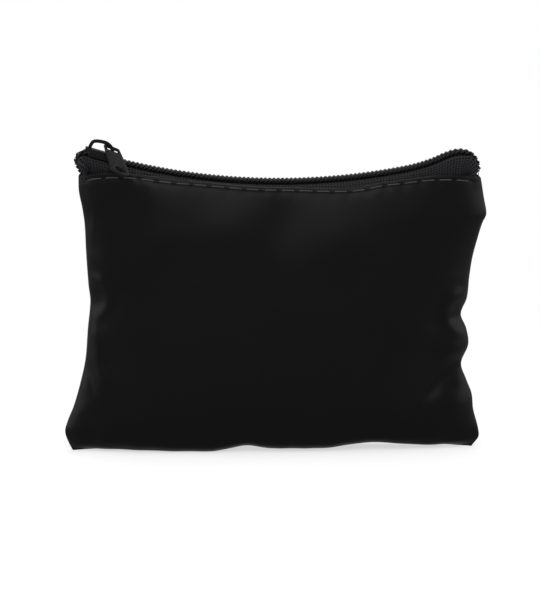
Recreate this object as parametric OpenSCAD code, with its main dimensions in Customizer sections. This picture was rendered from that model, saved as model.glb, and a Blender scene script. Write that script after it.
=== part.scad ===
// A small zip purse of smooth black coated cloth. Two panels are sewn together round the sides
// and the bottom and turned. Their folded top hems are stitched to the two tapes of a nylon coil
// zip, whose ends run over the top corners into the side seams. The purse stands upright on the
// flat of its bottom: X runs along the zip, the front faces -Y and Z is up.

/* [Purse] */
// Width across the widest points of the side seams
purse_width = 123.6; // [116:0.2:132]
// Height of the side seams' top ends above the table
seam_top = 82; // [78:0.5:86]
// Thickness from front to back at the fullest place
belly_depth = 23; // [19:0.5:26]
// Thickness from front to back at the middle of the hems
hem_depth = 15.4; // [14:0.2:18]
// Thickness of the coated cloth
cloth = 0.7; // [0.5:0.05:0.9]
// Gap between the two panels along their seams
seam_gap = 0.1; // [0.05:0.01:0.3]
// How far the hems dip in the middle below the seams' top ends
hem_dip = 3.4; // [2.5:0.1:4.2]
// Height of the two arches in the bottom edge
arch_height = 2; // [1:0.1:3]
// Height of the lower corners' bottom above the table
corner_lift = 1; // [0.5:0.1:2]

/* [Zip] */
// Radius of the long curve that the zip follows, at the tape
valley_radius = 191.85; // [185:0.5:200]
// Height of the seams' top ends above the lowest place of that curve
valley_drop = 3.45; // [2.5:0.05:4]
// Distance of that lowest place from the middle of the purse
valley_x = 2.5; // [1:0.1:4]
// Distance from the left seam at which the zip turns down into it
left_turn_inset = 2.5; // [2.2:0.1:4]
// Distance from the right seam to the zip's outermost place
right_turn_inset = 1.72; // [1.5:0.02:3]
// Length of the raised right corner of the zip
right_corner_l = 18.35; // [16:0.05:22]
// Height of the raised right corner above the end of the long curve
right_corner_rise = 4.7; // [4:0.1:5.2]
// Thickness of the woven tape
tape = 0.5; // [0.35:0.05:0.6]
// Gap between the two tapes, which the slider's post runs in
slit = 1; // [0.95:0.05:1.3]
// Length of chain from one coil turn to the next
coil_pitch = 1.27; // [1.2:0.01:1.5]
// Width of one coil across the chain
coil_w = 1.7; // [1.5:0.05:1.8]
// Height of a coil
coil_h = 1.6; // [1.4:0.05:1.8]
// Thickness of the coil's nylon wire
coil_wire = 0.55; // [0.45:0.05:0.6]

/* [Slider] */
// Length of the slider along the chain
slider_l = 9.4; // [8.4:0.1:10]
// Thickness of the slider's side walls behind the nose, outside the room for the coils
nose_wall = 0.71; // [0.5:0.01:0.9]
// Thickness of its side walls at the tail
tail_wall = 0.41; // [0.3:0.01:0.6]
// Length by which its upper plate stands out over the lower one at the nose
nose_overhang = 1.3; // [0.9:0.1:1.5]
// How far its upper plate falls towards the tail
tail_fall = 0.3; // [0.2:0.02:0.32]
// Thickness of its upper and lower plates
plate = 0.55; // [0.5:0.05:0.7]
// Diameter of the bail's wire
bail_wire = 1.05; // [0.85:0.05:1.1]
// Clear height under the bail
bail_clear = 2.18; // [2.1:0.02:2.4]

/* [Pull tab] */
// Length of the pull tab beyond the bail
tab_l = 17; // [14:0.2:17.4]
// Width of the pull tab at its tip
tab_w = 5.9; // [5.4:0.1:6.2]
// Width of the pull tab at its eye
tab_eye_w = 4.9; // [4.8:0.1:5.2]
// Thickness of the pull tab
tab_t = 0.7; // [0.5:0.05:0.75]
// Diameter of the round hole near its tip
tab_hole = 3.6; // [2:0.1:3.8]
// Angle by which the resting tab hangs below the slider's top
tab_drop = 13.6; // [11.6:0.2:14]
// Angle by which the resting tab tips down towards the slider's tail
tab_roll = 11.5; // [8:0.5:12]
// Angle by which the resting tab leans towards the slider's tail
tab_lean = 14; // [10:0.5:15]

/* [Stitching] */
// Length of one stitch of the top stitching
stitch_l = 4.1; // [3:0.1:4.6]
// Length from the start of one stitch to the next
stitch_pitch = 5.1; // [4.8:0.1:6]
// Diameter of the sewing thread
thread = 0.36; // [0.25:0.01:0.45]
// Distance of the top stitching from the hem's folded edge
stitch_inset = 1.4; // [1:0.1:2.5]

/* [Hidden] */

cloth_colour = "#1b1b1c";
tape_colour = "#242425";
coil_colour = "#2e2e30";
metal_colour = "#303032";
thread_colour = "#3b3b3d";

// One small gap serves wherever two pieces of cloth, tape or thread lie against each other.
rest_gap = 0.06;
// One overrun serves every cut.
cut = 1;

half_width = purse_width / 2;
belly = belly_depth / 2;
hem = hem_depth / 2;

// Height share along the side seam, then the seam's distance from the middle as a share of half
// the width: the lower corner, two pinches and the top on the left, and three pinches on the right.
left_seam_shares = [
  [0, 0.965], [0.03, 0.985], [0.07, 1], [0.11, 0.985], [0.16, 0.957], [0.24, 0.925],
  [0.33, 0.898], [0.44, 0.885], [0.54, 0.872], [0.6, 0.88], [0.72, 0.89], [0.82, 0.896],
  [0.88, 0.907], [0.94, 0.922], [1, 0.924]
];
right_seam_shares = [
  [0, 0.95], [0.035, 0.98], [0.07, 0.975], [0.14, 0.948], [0.2, 0.938], [0.25, 0.912],
  [0.31, 0.886], [0.38, 0.919], [0.44, 0.908], [0.49, 0.882], [0.55, 0.91], [0.63, 0.921],
  [0.7, 0.935], [0.78, 0.962], [0.83, 0.982], [0.86, 1], [0.92, 0.988], [1, 0.972]
];
// Share of the way up a panel, then its depth as a share of the belly: flat on the table, round
// the lower edge, over the belly and in again to the hem, which ends the last value.
depth_shares = [
  [0, 0], [0.03, 0.36], [0.055, 0.51], [0.09, 0.66], [0.15, 0.81], [0.25, 0.94], [0.4, 1],
  [0.55, 0.995], [0.7, 0.95], [0.82, 0.885], [0.9, 0.83], [0.955, 0.76], [1, hem / belly]
];
// Share of the way up a panel, then its height as a share of the hem's height.
height_shares = [
  [0, 0], [0.03, 0], [0.055, 0.006], [0.09, 0.024], [0.15, 0.078], [0.25, 0.182], [0.4, 0.345],
  [0.55, 0.512], [0.7, 0.68], [0.82, 0.812], [0.9, 0.9], [0.955, 0.963], [1, 1]
];
// Place along the width as a share of half of it, then the hem's dip there.
dip_shares = [
  [-0.93, 0], [-0.82, -0.3], [-0.68, -0.25], [-0.5, 0.2], [-0.33, 0.5], [-0.1, 0.88], [0.1, 1],
  [0.3, 1.1], [0.4, 0.98], [0.5, 0.62], [0.6, 0.4], [0.74, 0.1], [0.88, 0.08], [0.98, 0.3]
];
// Place along the width, then the rise of the bottom edge as a share of the arch's height.
arch_shares = [
  [-1, 0], [-0.31, 0], [-0.13, 0.75], [-0.012, 0], [0.21, 0], [0.46, 1], [0.78, 0], [1, 0]
];
// Soft dents beside the pinches: place along the width, height, radius and depth, as shares of
// half the width, the seam's height, half the width and the belly.
dent_shares = [
  [-0.8, 0.56, 0.1, 0.14], [-0.82, 0.34, 0.09, 0.12], [0.8, 0.49, 0.1, 0.16],
  [0.78, 0.31, 0.12, 0.22], [0.66, 0.2, 0.14, 0.1], [0.1, 0.93, 0.2, 0.05]
];
// Fullness of the panels' level sections: higher powers give flatter faces and rounder sides.
section_power = 2.8;
section_root = 0.46;
// How strongly the rows of a panel turn level towards the side seams.
edge_power = 4;
panel_columns = 30;
panel_rows = [
  0, 0.03, 0.07, 0.11, 0.16, 0.2, 0.25, 0.31, 0.38, 0.44, 0.49, 0.54, 0.6, 0.66, 0.72, 0.78,
  0.83, 0.86, 0.9, 0.93, 0.955, 0.98, 1
];
// Share of the way up where the folded hem's second layer ends, and the length of a panel's
// section from the bottom seam to the hem, as a share of the seam's height.
hem_end_share = 0.95;
section_length_share = 1.2;

function mix(a, b, t) = a + (b - a) * t;
function held(t) = max(0, min(1, t));
function soft(t) = let(c = held(t)) c * c * (3 - 2 * c);
function unit(v) = v / norm(v);
function knot(t, x, i = 0) = (i >= len(t) - 2 || x < t[i + 1][0]) ? i : knot(t, x, i + 1);
function knot_slope(t, i) =
  let(a = max(0, i - 1), b = min(len(t) - 1, i + 1)) (t[b][1] - t[a][1]) / (t[b][0] - t[a][0]);

// A smooth curve through a table of shares.
function curve(t, x) =
  let(
    i = knot(t, x),
    w = t[i + 1][0] - t[i][0],
    u = held((x - t[i][0]) / w),
    u2 = u * u,
    u3 = u2 * u
  )
  (2 * u3 - 3 * u2 + 1) * t[i][1] + (u3 - 2 * u2 + u) * w * knot_slope(t, i)
  + (3 * u2 - 2 * u3) * t[i + 1][1] + (u3 - u2) * w * knot_slope(t, i + 1);

// A table of shares joined by gentle steps, level at every entry.
function steps(t, x) =
  let(i = knot(t, x), u = (x - t[i][0]) / (t[i + 1][0] - t[i][0])) mix(t[i][1], t[i + 1][1], soft(u));

function sum(v, i = 0) = i >= len(v) ? 0 : v[i] + sum(v, i + 1);

function seam_left(w) = -half_width * curve(left_seam_shares, w);
function seam_right(w) = half_width * curve(right_seam_shares, w);
function hem_z(x) = seam_top - hem_dip * curve(dip_shares, x / half_width);
function base_z(x) = arch_height * steps(arch_shares, x / half_width);
function fullness(s) = pow(max(0, 1 - pow(abs(s), section_power)), section_root);
function dents(x, z) =
  sum([for (d = dent_shares)
    let(r = norm([x - d[0] * half_width, z - d[1] * seam_top]) / (d[2] * half_width)) d[3] * exp(-r * r)]);

// A point of the front panel's outer face: s runs from -1 at the left seam to 1 at the right one,
// and w from 0 at the bottom seam to 1 at the hem.
function skin(s, w) =
  let(
    x = mix(seam_left(w), seam_right(w), (s + 1) / 2),
    top = hem_z(x),
    inner_z = mix(base_z(x), top, curve(height_shares, w)),
    edge_z = mix(corner_lift, top, w),
    z = mix(inner_z, edge_z, pow(abs(s), edge_power)),
    depth = belly * curve(depth_shares, w) * fullness(s) * (1 - dents(x, z))
  )
  [x, -depth - seam_gap / 2, z];

// The outward direction of the front panel's outer face.
ds = 0.004;
dw = 0.003;
function skin_normal(s, w) =
  let(
    along = skin(min(1, s + ds), w) - skin(max(-1, s - ds), w),
    up = skin(s, min(1, w + dw)) - skin(s, max(0, w - dw))
  )
  unit(cross(along, up));

// The outward direction within the seam plane, for points that lie on a seam: square to the seam,
// and halfway between the two seams at a lower corner.
function seam_normal(s, w) =
  let(
    along = skin(min(1, s + ds), w) - skin(max(-1, s - ds), w),
    up = skin(s, min(1, w + dw)) - skin(s, max(0, w - dw)),
    beside = abs(s) == 1 ? sign(s) * unit([up.z, 0, -up.x]) : [0, 0, 0],
    below = w == 0 ? unit([along.z, 0, -along.x]) : [0, 0, 0]
  )
  unit(beside + below);

function below_skin(s, w, depth) = skin(s, w) - depth * skin_normal(s, w);
function hem_layers(w) = cloth * (1 + soft((w - hem_end_share) / (1 - hem_end_share) * 2));
function column(i) = -cos(180 * i / panel_columns);

// Triangles that close the space between two grids of points, the outer one listed first.
function shell_faces(m, n) =
  let(at = function (k, i, j) k * m * n + i * n + j)
  concat(
    [for (i = [0 : m - 2], j = [0 : n - 2]) each [
      [at(0, i, j), at(0, i, j + 1), at(0, i + 1, j + 1)],
      [at(0, i, j), at(0, i + 1, j + 1), at(0, i + 1, j)],
      [at(1, i, j), at(1, i + 1, j + 1), at(1, i, j + 1)],
      [at(1, i, j), at(1, i + 1, j), at(1, i + 1, j + 1)]
    ]],
    [for (i = [0 : m - 2]) each [
      [at(0, i, 0), at(0, i + 1, 0), at(1, i + 1, 0)],
      [at(0, i, 0), at(1, i + 1, 0), at(1, i, 0)],
      [at(0, i, n - 1), at(1, i + 1, n - 1), at(0, i + 1, n - 1)],
      [at(0, i, n - 1), at(1, i, n - 1), at(1, i + 1, n - 1)]
    ]],
    [for (j = [0 : n - 2]) each [
      [at(0, 0, j), at(1, 0, j + 1), at(0, 0, j + 1)],
      [at(0, 0, j), at(1, 0, j), at(1, 0, j + 1)],
      [at(0, m - 1, j), at(0, m - 1, j + 1), at(1, m - 1, j + 1)],
      [at(0, m - 1, j), at(1, m - 1, j + 1), at(1, m - 1, j)]
    ]]
  );

module shell(outer, inner) {
  polyhedron(
    points = concat([for (row = outer) each row], [for (row = inner) each row]),
    faces = shell_faces(len(outer), len(outer[0]))
  );
}

// A thin sheet of even thickness about a grid of points.
function grid_normal(g, i, j) =
  let(
    a = g[min(i + 1, len(g) - 1)][j] - g[max(i - 1, 0)][j],
    b = g[i][min(j + 1, len(g[0]) - 1)] - g[i][max(j - 1, 0)]
  )
  unit(cross(a, b));
function grid_offset(g, depth) =
  [for (i = [0 : len(g) - 1]) [for (j = [0 : len(g[0]) - 1]) g[i][j] + depth * grid_normal(g, i, j)]];
module sheet(g, thickness) {
  shell(grid_offset(g, thickness / 2), grid_offset(g, -thickness / 2));
}

// A tube along a list of points, drawn with few sides because it is thin.
function path_direction(p, i) = unit(p[min(i + 1, len(p) - 1)] - p[max(i - 1, 0)]);
module tube(p, diameter, sides) {
  across = [0, 1, 0];
  rings = [for (i = [0 : len(p) - 1])
    let(up = unit(cross(path_direction(p, i), across)))
    [for (k = [0 : sides - 1])
      p[i] + diameter / 2 * (cos(360 * k / sides) * across + sin(360 * k / sides) * up)]];
  n = sides;
  m = len(p);
  polyhedron(
    points = [for (r = rings) each r],
    faces = concat(
      [[for (k = [0 : n - 1]) k]],
      [[for (k = [n - 1 : -1 : 0]) (m - 1) * n + k]],
      [for (i = [0 : m - 2], k = [0 : n - 1]) each [
        [i * n + k, (i + 1) * n + (k + 1) % n, i * n + (k + 1) % n],
        [i * n + k, (i + 1) * n + k, (i + 1) * n + (k + 1) % n]
      ]]
    )
  );
}

// A short straight rod of thread between two points.
module rod(a, b, diameter) {
  d = b - a;
  translate(a)
    rotate([0, acos(d.z / norm(d)), atan2(d.y, d.x)])
      cylinder(h = norm(d), d = diameter, $fn = 16);
}

// The zip's path

// Distances from the valley's lowest place to the ends of its curve: on the left the zip turns
// down into the seam there, on the right its raised corner begins.
left_reach = valley_x - seam_left(1) - left_turn_inset;
right_reach = seam_right(1) - right_turn_inset - right_corner_l - valley_x;
left_angle = asin(left_reach / valley_radius);
right_angle = -asin(right_reach / valley_radius);
// Radius at which the tape turns over the left corner.
left_curl = 1.5;
// How far the tape's ends stay inside the top of the side seams.
end_inset = 1;
valley_centre = [valley_x, seam_top - valley_drop + valley_radius];
function valley_point(a) = valley_centre - valley_radius * [sin(a), cos(a)];
curl_centre = valley_point(left_angle) - left_curl * [sin(left_angle), cos(left_angle)];
right_start = valley_point(right_angle);
// The raised right corner, as shares of its length and of its rise.
right_corner_shares = [
  [0, 0], [0.2, 0.2], [0.4, 0.47], [0.58, 0.78], [0.72, 0.96], [0.82, 0.985], [0.92, 0.86],
  [0.985, 0.52], [1, 0.12], [0.96, -0.22]
];
corner_steps = 4;
curl_steps = 8;
valley_steps = 26;
function right_corner_point(i) =
  let(q = right_corner_shares[max(0, min(len(right_corner_shares) - 1, i))])
  right_start + [q.x * right_corner_l, q.y * right_corner_rise];
function spline(a, b, c, d, u) =
  (2 * b + (c - a) * u + (2 * a - 5 * b + 4 * c - d) * u * u + (3 * b - a - 3 * c + d) * u * u * u) / 2;

// Room between the tape's ends and the folded hems, which curve in there.
end_room = 0.76;
left_end_x = seam_left(1) + 2 * cloth + end_room + tape / 2;
chain_path = concat(
  [[left_end_x, seam_top - end_inset], [left_end_x, seam_top + end_inset]],
  [for (k = [0 : curl_steps - 1])
    let(a = mix(180, 90 - left_angle, k / curl_steps)) curl_centre + left_curl * [cos(a), sin(a)]],
  [for (k = [0 : valley_steps - 1])
    valley_point(mix(left_angle, right_angle, k / valley_steps))],
  [for (i = [0 : len(right_corner_shares) - 2], k = [0 : corner_steps - 1])
    spline(
      i == 0 ? valley_point(right_angle * 0.9) : right_corner_point(i - 1), right_corner_point(i),
      right_corner_point(i + 1), right_corner_point(i + 2), k / corner_steps
    )],
  [right_corner_point(len(right_corner_shares) - 1)]
);
path_count = len(chain_path);
function path_normal(i) =
  let(d = unit(chain_path[min(i + 1, path_count - 1)] - chain_path[max(i - 1, 0)])) [-d.y, d.x];
function run_lengths(i = 1, so_far = [0]) =
  i >= path_count ? so_far
  : run_lengths(i + 1, concat(so_far, [so_far[i - 1] + norm(chain_path[i] - chain_path[i - 1])]));
runs = run_lengths();
chain_length = runs[path_count - 1];
function run_index(l, i = 0) = (i >= path_count - 2 || l < runs[i + 1]) ? i : run_index(l, i + 1);
function chain_point(l) =
  let(i = run_index(l)) mix(chain_path[i], chain_path[i + 1], (l - runs[i]) / (runs[i + 1] - runs[i]));
function chain_normal(l) =
  let(i = run_index(l)) unit(mix(path_normal(i), path_normal(i + 1), (l - runs[i]) / (runs[i + 1] - runs[i])));

// A place beside the chain: across it and above the tape's middle.
function beside(i, y, lift) =
  let(p = chain_path[i] + lift * path_normal(i)) [p.x, -y, p.y];

// The two tapes, with the room that the slider takes round them

coil_inner = slit / 2;
coil_outer = coil_inner + coil_w;
coil_base = tape / 2 + rest_gap;
coil_top = coil_base + coil_h;
// The sewn thread that holds each coil down, along its outer edge.
coil_thread = 0.26;
// Running clearances round the chain and the tape.
chain_clear = 0.17;
slot_clear = 0.25;
post_clear = 0.12;
channel_half = coil_outer + coil_thread + rest_gap + chain_clear;
slider_w = 2 * (channel_half + nose_wall);
slider_tail_w = 2 * (channel_half + tail_wall);
channel_top = coil_top + chain_clear;
slot_half = tape / 2 + slot_clear;
slider_top = channel_top + plate;
slider_bottom = -slot_half - plate;
// Distance across at which the level tape turns down, clear of the slider's sides.
side_clear = 0.35;
tape_turn = slider_w / 2 + side_clear;
// Rows where the tape lies under the hem: just below its fold, at the stitching and at the
// tape's own edge.
tape_row_shares = [0.992, 0.98, 0.965];
// Room that the curved hem leaves beside the tape.
tape_gap = 0.16;
tape_depth = 2 * cloth + tape_gap + tape / 2;
// The tape is drawn in at both ends, where the hems hold it, and widens over this length.
end_run = 3;
function end_ease(i) = soft((min(runs[i], chain_length - runs[i]) - 2 * end_inset) / end_run);
// Position along the hem that matches a point of the chain. Beyond the curve's left end and the
// top of the right corner, the chain turns down and the match goes by its length.
end_s = 0.965;
first_level = curl_steps + 2;
last_level = first_level + valley_steps + 5 * corner_steps;
last_run = chain_length - runs[last_level];
function level_s(i) = (chain_path[i].x - seam_left(1)) / (seam_right(1) - seam_left(1)) * 2 - 1;
function hem_s(i) =
  i < first_level ? mix(-end_s, level_s(first_level), runs[i] / runs[first_level])
  : i > last_level ? mix(level_s(last_level), end_s, 1 - (chain_length - runs[i]) / last_run)
  : level_s(i);
// Where the hem is narrower than the slider, the tape first turns down past the slider's lower
// plate and then in under the hem.
turn_depth = slot_half + plate + side_clear;
function tape_row(i) =
  let(
    s = hem_s(i),
    turn = mix(coil_inner + tape, tape_turn, end_ease(i)),
    level = beside(i, turn, 0),
    fold = below_skin(s, 1, tape_depth),
    narrow = soft((fold.y - level.y) / side_clear),
    bend_z = mix(mix(level.z, fold.z, 0.15), level.z - turn_depth, narrow),
    bend = [mix(level.x, fold.x, 0.5), min(level.y, fold.y), bend_z],
    throat = [fold.x, fold.y, fold.z + max(0, min(tape, bend_z - fold.z))]
  )
  [
    beside(i, coil_inner, 0),
    mix(beside(i, coil_inner, 0), level, 0.5),
    level,
    mix((level + 2 * bend + fold) / 4, bend, narrow),
    throat,
    each [for (w = tape_row_shares) below_skin(s, w, tape_depth)]
  ];

module front_zip_tape() {
  color(tape_colour) sheet([for (i = [0 : path_count - 1]) tape_row(i)], tape);
}
module rear_zip_tape() {
  mirror([0, 1, 0]) front_zip_tape();
}

// The two coils

// One turn of the coil, seen along the chain: a flat loop of wire round the cord.
module coil_turn() {
  chamfer = coil_wire * 0.6;
  core_chamfer = chamfer * 0.3;
  rotate([90, 0, 90])
    linear_extrude(height = coil_wire, center = true)
      difference() {
        cut_corner_box(coil_inner, coil_outer, coil_base, coil_top, chamfer);
        cut_corner_box(
          coil_inner + coil_wire, coil_outer - coil_wire,
          coil_base + coil_wire, coil_top - coil_wire, core_chamfer
        );
      }
}
module cut_corner_box(y0, y1, z0, z1, c) {
  polygon([
    [y0 + c, z0], [y1 - c, z0], [y1, z0 + c], [y1, z1 - c],
    [y1 - c, z1], [y0 + c, z1], [y0, z1 - c], [y0, z0 + c]
  ]);
}

// Length of bare tape at each end of the chain, which the seam holds.
bare_end = 1.9;
turn_count = floor((chain_length - 2 * bare_end) / coil_pitch);
// The stations of the path between the bare ends.
sewn_stations = [for (i = [0 : path_count - 1])
  if (runs[i] > bare_end && runs[i] < chain_length - bare_end) i];
// The rear coil's turns stand half a pitch on, so that the two halves can mesh.
module coil(shift) {
  for (k = [0 : turn_count - 1]) {
    l = bare_end + (k + shift) * coil_pitch;
    p = chain_point(l);
    n = chain_normal(l);
    translate([p.x, 0, p.y]) rotate([0, atan2(n.x, n.y), 0]) mirror([0, 1, 0]) coil_turn();
  }
}
module front_coil() {
  color(coil_colour) coil(0.25);
}
module rear_coil() {
  color(coil_colour) mirror([0, 1, 0]) coil(0.75);
}

// The cord that each coil is wound round.
cord_y = (coil_inner + coil_outer) / 2;
cord_d = min(coil_w, coil_h) - 2 * coil_wire - 3 * rest_gap;
module front_coil_cord() {
  color(tape_colour)
    tube([for (i = sewn_stations) beside(i, cord_y, (coil_base + coil_top) / 2)], cord_d, 4);
}
module rear_coil_cord() {
  mirror([0, 1, 0]) front_coil_cord();
}

module front_coil_thread() {
  color(thread_colour)
    tube(
      [for (i = sewn_stations)
        beside(i, coil_outer + rest_gap + coil_thread / 2, (tape + coil_thread) / 2 + rest_gap)],
      coil_thread, 4
    );
}
module rear_coil_thread() {
  mirror([0, 1, 0]) front_coil_thread();
}

// The panels

module front_panel() {
  outer = [for (i = [0 : panel_columns]) [for (w = panel_rows) skin(column(i), w)]];
  inner = [for (i = [0 : panel_columns]) [for (w = panel_rows)
    let(
      s = column(i),
      on_seam = i == 0 || i == panel_columns || w == 0,
      n = on_seam ? seam_normal(s, w) : skin_normal(s, w),
      p = skin(s, w) - hem_layers(w) * n
    )
    [p.x, min(p.y, -seam_gap / 2), p.z]]];
  color(cloth_colour) shell(outer, inner);
}
module rear_panel() {
  mirror([0, 1, 0]) front_panel();
}

// The slider, drawn level at the origin with its nose at -X and the tape's middle at z = 0

nose_taper = 1.4;
nose_tip_w = 4.6;
top_bevel = 1;
bottom_bevel = 0.3;
post_l = 2.4;
// Distance of the post behind the lower plate's nose.
post_setback = 0.4;
// Height of the upper plate's nose, with the tops of the side walls under it.
nose_face = 1.4;
// Place along the slider where its upper plate begins to fall.
fall_start = 1;

module slider_plan() {
  x0 = -slider_l / 2;
  x1 = slider_l / 2;
  polygon([
    [x0, -nose_tip_w / 2], [x0 + nose_taper, -slider_w / 2], [0, -slider_w / 2],
    [x1 - top_bevel, -slider_tail_w / 2], [x1, -slider_tail_w / 2 + top_bevel],
    [x1, slider_tail_w / 2 - top_bevel], [x1 - top_bevel, slider_tail_w / 2],
    [0, slider_w / 2], [x0 + nose_taper, slider_w / 2], [x0, nose_tip_w / 2]
  ]);
}
module slider_section() {
  h = slider_w / 2;
  polygon([
    [-h + bottom_bevel, slider_bottom], [h - bottom_bevel, slider_bottom],
    [h, slider_bottom + bottom_bevel], [h, slider_top - top_bevel],
    [h - top_bevel, slider_top], [-h + top_bevel, slider_top],
    [-h, slider_top - top_bevel], [-h, slider_bottom + bottom_bevel]
  ]);
}
module slider_side() {
  x0 = -slider_l / 2;
  x1 = slider_l / 2;
  polygon([
    [x0 + nose_overhang, slider_bottom], [x1, slider_bottom], [x1, slider_top - tail_fall],
    [fall_start, slider_top], [x0, slider_top], [x0, slider_top - nose_face],
    [x0 + nose_overhang, slider_top - nose_face]
  ]);
}
module slider_solid() {
  intersection() {
    rotate([90, 0, 0])
      linear_extrude(height = slider_w + 2 * cut, center = true) slider_side();
    translate([0, 0, slider_bottom - cut])
      linear_extrude(height = slider_top - slider_bottom + 2 * cut) slider_plan();
    rotate([90, 0, 90])
      linear_extrude(height = slider_l + 2 * cut, center = true) slider_section();
  }
}
module slider_body() {
  color(metal_colour)
    on_chain()
      difference() {
        slider_solid();
        slider_hollow(1);
        slider_hollow(-1);
      }
}
// The room for one half of the chain and its tape, on one side of the post.
module slider_hollow(side) {
  post_half = slit / 2 - post_clear;
  post_x = -slider_l / 2 + nose_overhang + post_setback;
  translate([-slider_l / 2 - cut, side > 0 ? post_half : -slider_w / 2 - cut, -slot_half])
    cube([slider_l + 2 * cut, slider_w / 2 + cut - post_half, 2 * slot_half]);
  translate([-slider_l / 2 - cut, side > 0 ? post_half : -channel_half, -slot_half])
    cube([slider_l + 2 * cut, channel_half - post_half, channel_top + slot_half]);
  for (x = [post_x - slider_l, post_x + post_l])
    translate([x, -post_half - rest_gap, -slot_half])
      cube([slider_l, 2 * (post_half + rest_gap), channel_top + slot_half]);
}

// The bail: a wire arch over the slider, steep at the nose and sloping to the tail, whose slope
// passes through the tab's eye. Its places are shares of half the slider's length and of the
// height of the wire's middle at the crown.
bail_crown = bail_clear + bail_wire / 2;
eye_shares = [0.63, 0.45];
bail_shares = [
  [-0.754, -0.26], [-0.75, 0], [-0.734, 0.26], [-0.702, 0.52], [-0.634, 0.75], [-0.462, 0.9],
  [-0.215, 0.98], [0.017, 1], [0.149, 0.995], [0.29, 0.93], [0.42, 0.825], [0.54, 0.66], eye_shares,
  [0.7, 0.222], [0.749, 0], [0.781, -0.26]
];
bail_points = [for (q = bail_shares) [q.x * slider_l / 2, q.y * bail_crown]];
tab_x = eye_shares.x * slider_l / 2;
eye_height = eye_shares.y * bail_crown;
bail_steps = 2;
bail_path = concat(
  [for (i = [0 : len(bail_points) - 2], k = [0 : bail_steps - 1])
    spline(
      bail_points[max(0, i - 1)], bail_points[i], bail_points[i + 1],
      bail_points[min(len(bail_points) - 1, i + 2)], k / bail_steps
    )],
  [bail_points[len(bail_points) - 1]]
);
// The wire's feet are cut where they stand on the upper plate.
foot_gap = 0.03;
module over_plate() {
  x0 = -slider_l / 2;
  x1 = slider_l / 2;
  polygon([
    [x0, slider_top + foot_gap], [fall_start, slider_top + foot_gap],
    [x1, slider_top - tail_fall + foot_gap], [x1, slider_top + 2 * bail_crown],
    [x0, slider_top + 2 * bail_crown]
  ]);
}
module slider_bail() {
  color(metal_colour)
    on_chain()
      intersection() {
        tube([for (q = bail_path) [q.x, 0, slider_top + q.y]], bail_wire, 8);
        rotate([90, 0, 0])
          linear_extrude(height = slider_w, center = true) over_plate();
      }
}

// The pull tab, hooked on the bail's slope and resting on the slider's front edge.
eye_half = 2;
eye_l = 2.7;
eye_back = 1;
rim = 0.85;
// Width of the tab where its widening from the eye eases off, and the length of that widening.
shoulder_share = 0.95;
tab_flare = 3;
module pull_tab() {
  color(metal_colour)
    on_chain()
      translate([tab_x, 0, slider_top + eye_height])
        rotate([tab_drop, 0, 0])
          rotate([0, tab_roll, 0])
            rotate([0, 0, tab_lean])
              translate([0, 0, -tab_t / 2])
                linear_extrude(height = tab_t) tab_outline();
}
module tab_outline() {
  tip = tab_w / 2;
  shoulder = tip * shoulder_share;
  difference() {
    union() {
      polygon([
        [-tab_eye_w / 2 + rim / 2, eye_back + rim], [-tab_eye_w / 2, eye_back + rim / 2],
        [-shoulder, eye_back - eye_l - tab_flare], [-tip, tip - tab_l],
        [tip, tip - tab_l], [shoulder, eye_back - eye_l - tab_flare],
        [tab_eye_w / 2, eye_back + rim / 2], [tab_eye_w / 2 - rim / 2, eye_back + rim]
      ]);
      translate([0, tip - tab_l]) circle(r = tip, $fn = 64);
    }
    translate([-eye_half, eye_back - eye_l]) square([2 * eye_half, eye_l]);
    translate([0, tip - tab_l]) circle(d = tab_hole, $fn = 64);
  }
}

// Puts what is drawn level at the origin on the zip at the resting slider's place, where the
// lower plate's nose has reached the left turn.
slider_angle = asin((left_reach - slider_l / 2 + nose_overhang) / valley_radius);
module on_chain() {
  translate([valley_centre.x, 0, valley_centre.y])
    rotate([0, slider_angle, 0])
      translate([0, 0, -valley_radius]) children();
}

// The sewing

// Room between the thread and the cloth, so that straight stitches clear the curved hem.
stitch_clear = 0.16;
stitch_row = 1 - stitch_inset / (seam_top * section_length_share);
stitched_share = 0.97;
stitch_count = floor((seam_right(1) - seam_left(1)) * stitched_share / stitch_pitch);
// Where along the hem a stitch starts, from -1 to 1.
function stitch_s(k, l) =
  ((k - stitch_count / 2) * stitch_pitch + l) / ((seam_right(1) - seam_left(1)) / 2);
module top_stitches() {
  lift = thread / 2 + stitch_clear;
  for (k = [0 : stitch_count - 1])
    rod(
      below_skin(stitch_s(k, 0), stitch_row, -lift),
      below_skin(stitch_s(k, stitch_l), stitch_row, -lift), thread
    );
}
module bobbin_stitches() {
  depth = tape_depth + tape / 2 + stitch_clear + thread / 2;
  for (k = [0 : stitch_count - 1])
    rod(
      below_skin(stitch_s(k, stitch_pitch / 2), stitch_row, depth),
      below_skin(stitch_s(k, stitch_pitch / 2 + stitch_l), stitch_row, depth), thread
    );
}
module front_top_stitches() {
  color(thread_colour) top_stitches();
}
module rear_top_stitches() {
  color(thread_colour) mirror([0, 1, 0]) top_stitches();
}
module front_bobbin_stitches() {
  color(thread_colour) bobbin_stitches();
}
module rear_bobbin_stitches() {
  color(thread_colour) mirror([0, 1, 0]) bobbin_stitches();
}

// The turned seams are sewn inside, where the two panels meet.
seam_pitch = 3.2;
seam_stitch = 2.5;
seam_clear = 0.26;
seam_depth = cloth + seam_clear + thread / 2;
function on_seam_inside(s, w) =
  let(p = skin(s, w) - seam_depth * seam_normal(s, w)) [p.x, 0, p.z];
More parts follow.
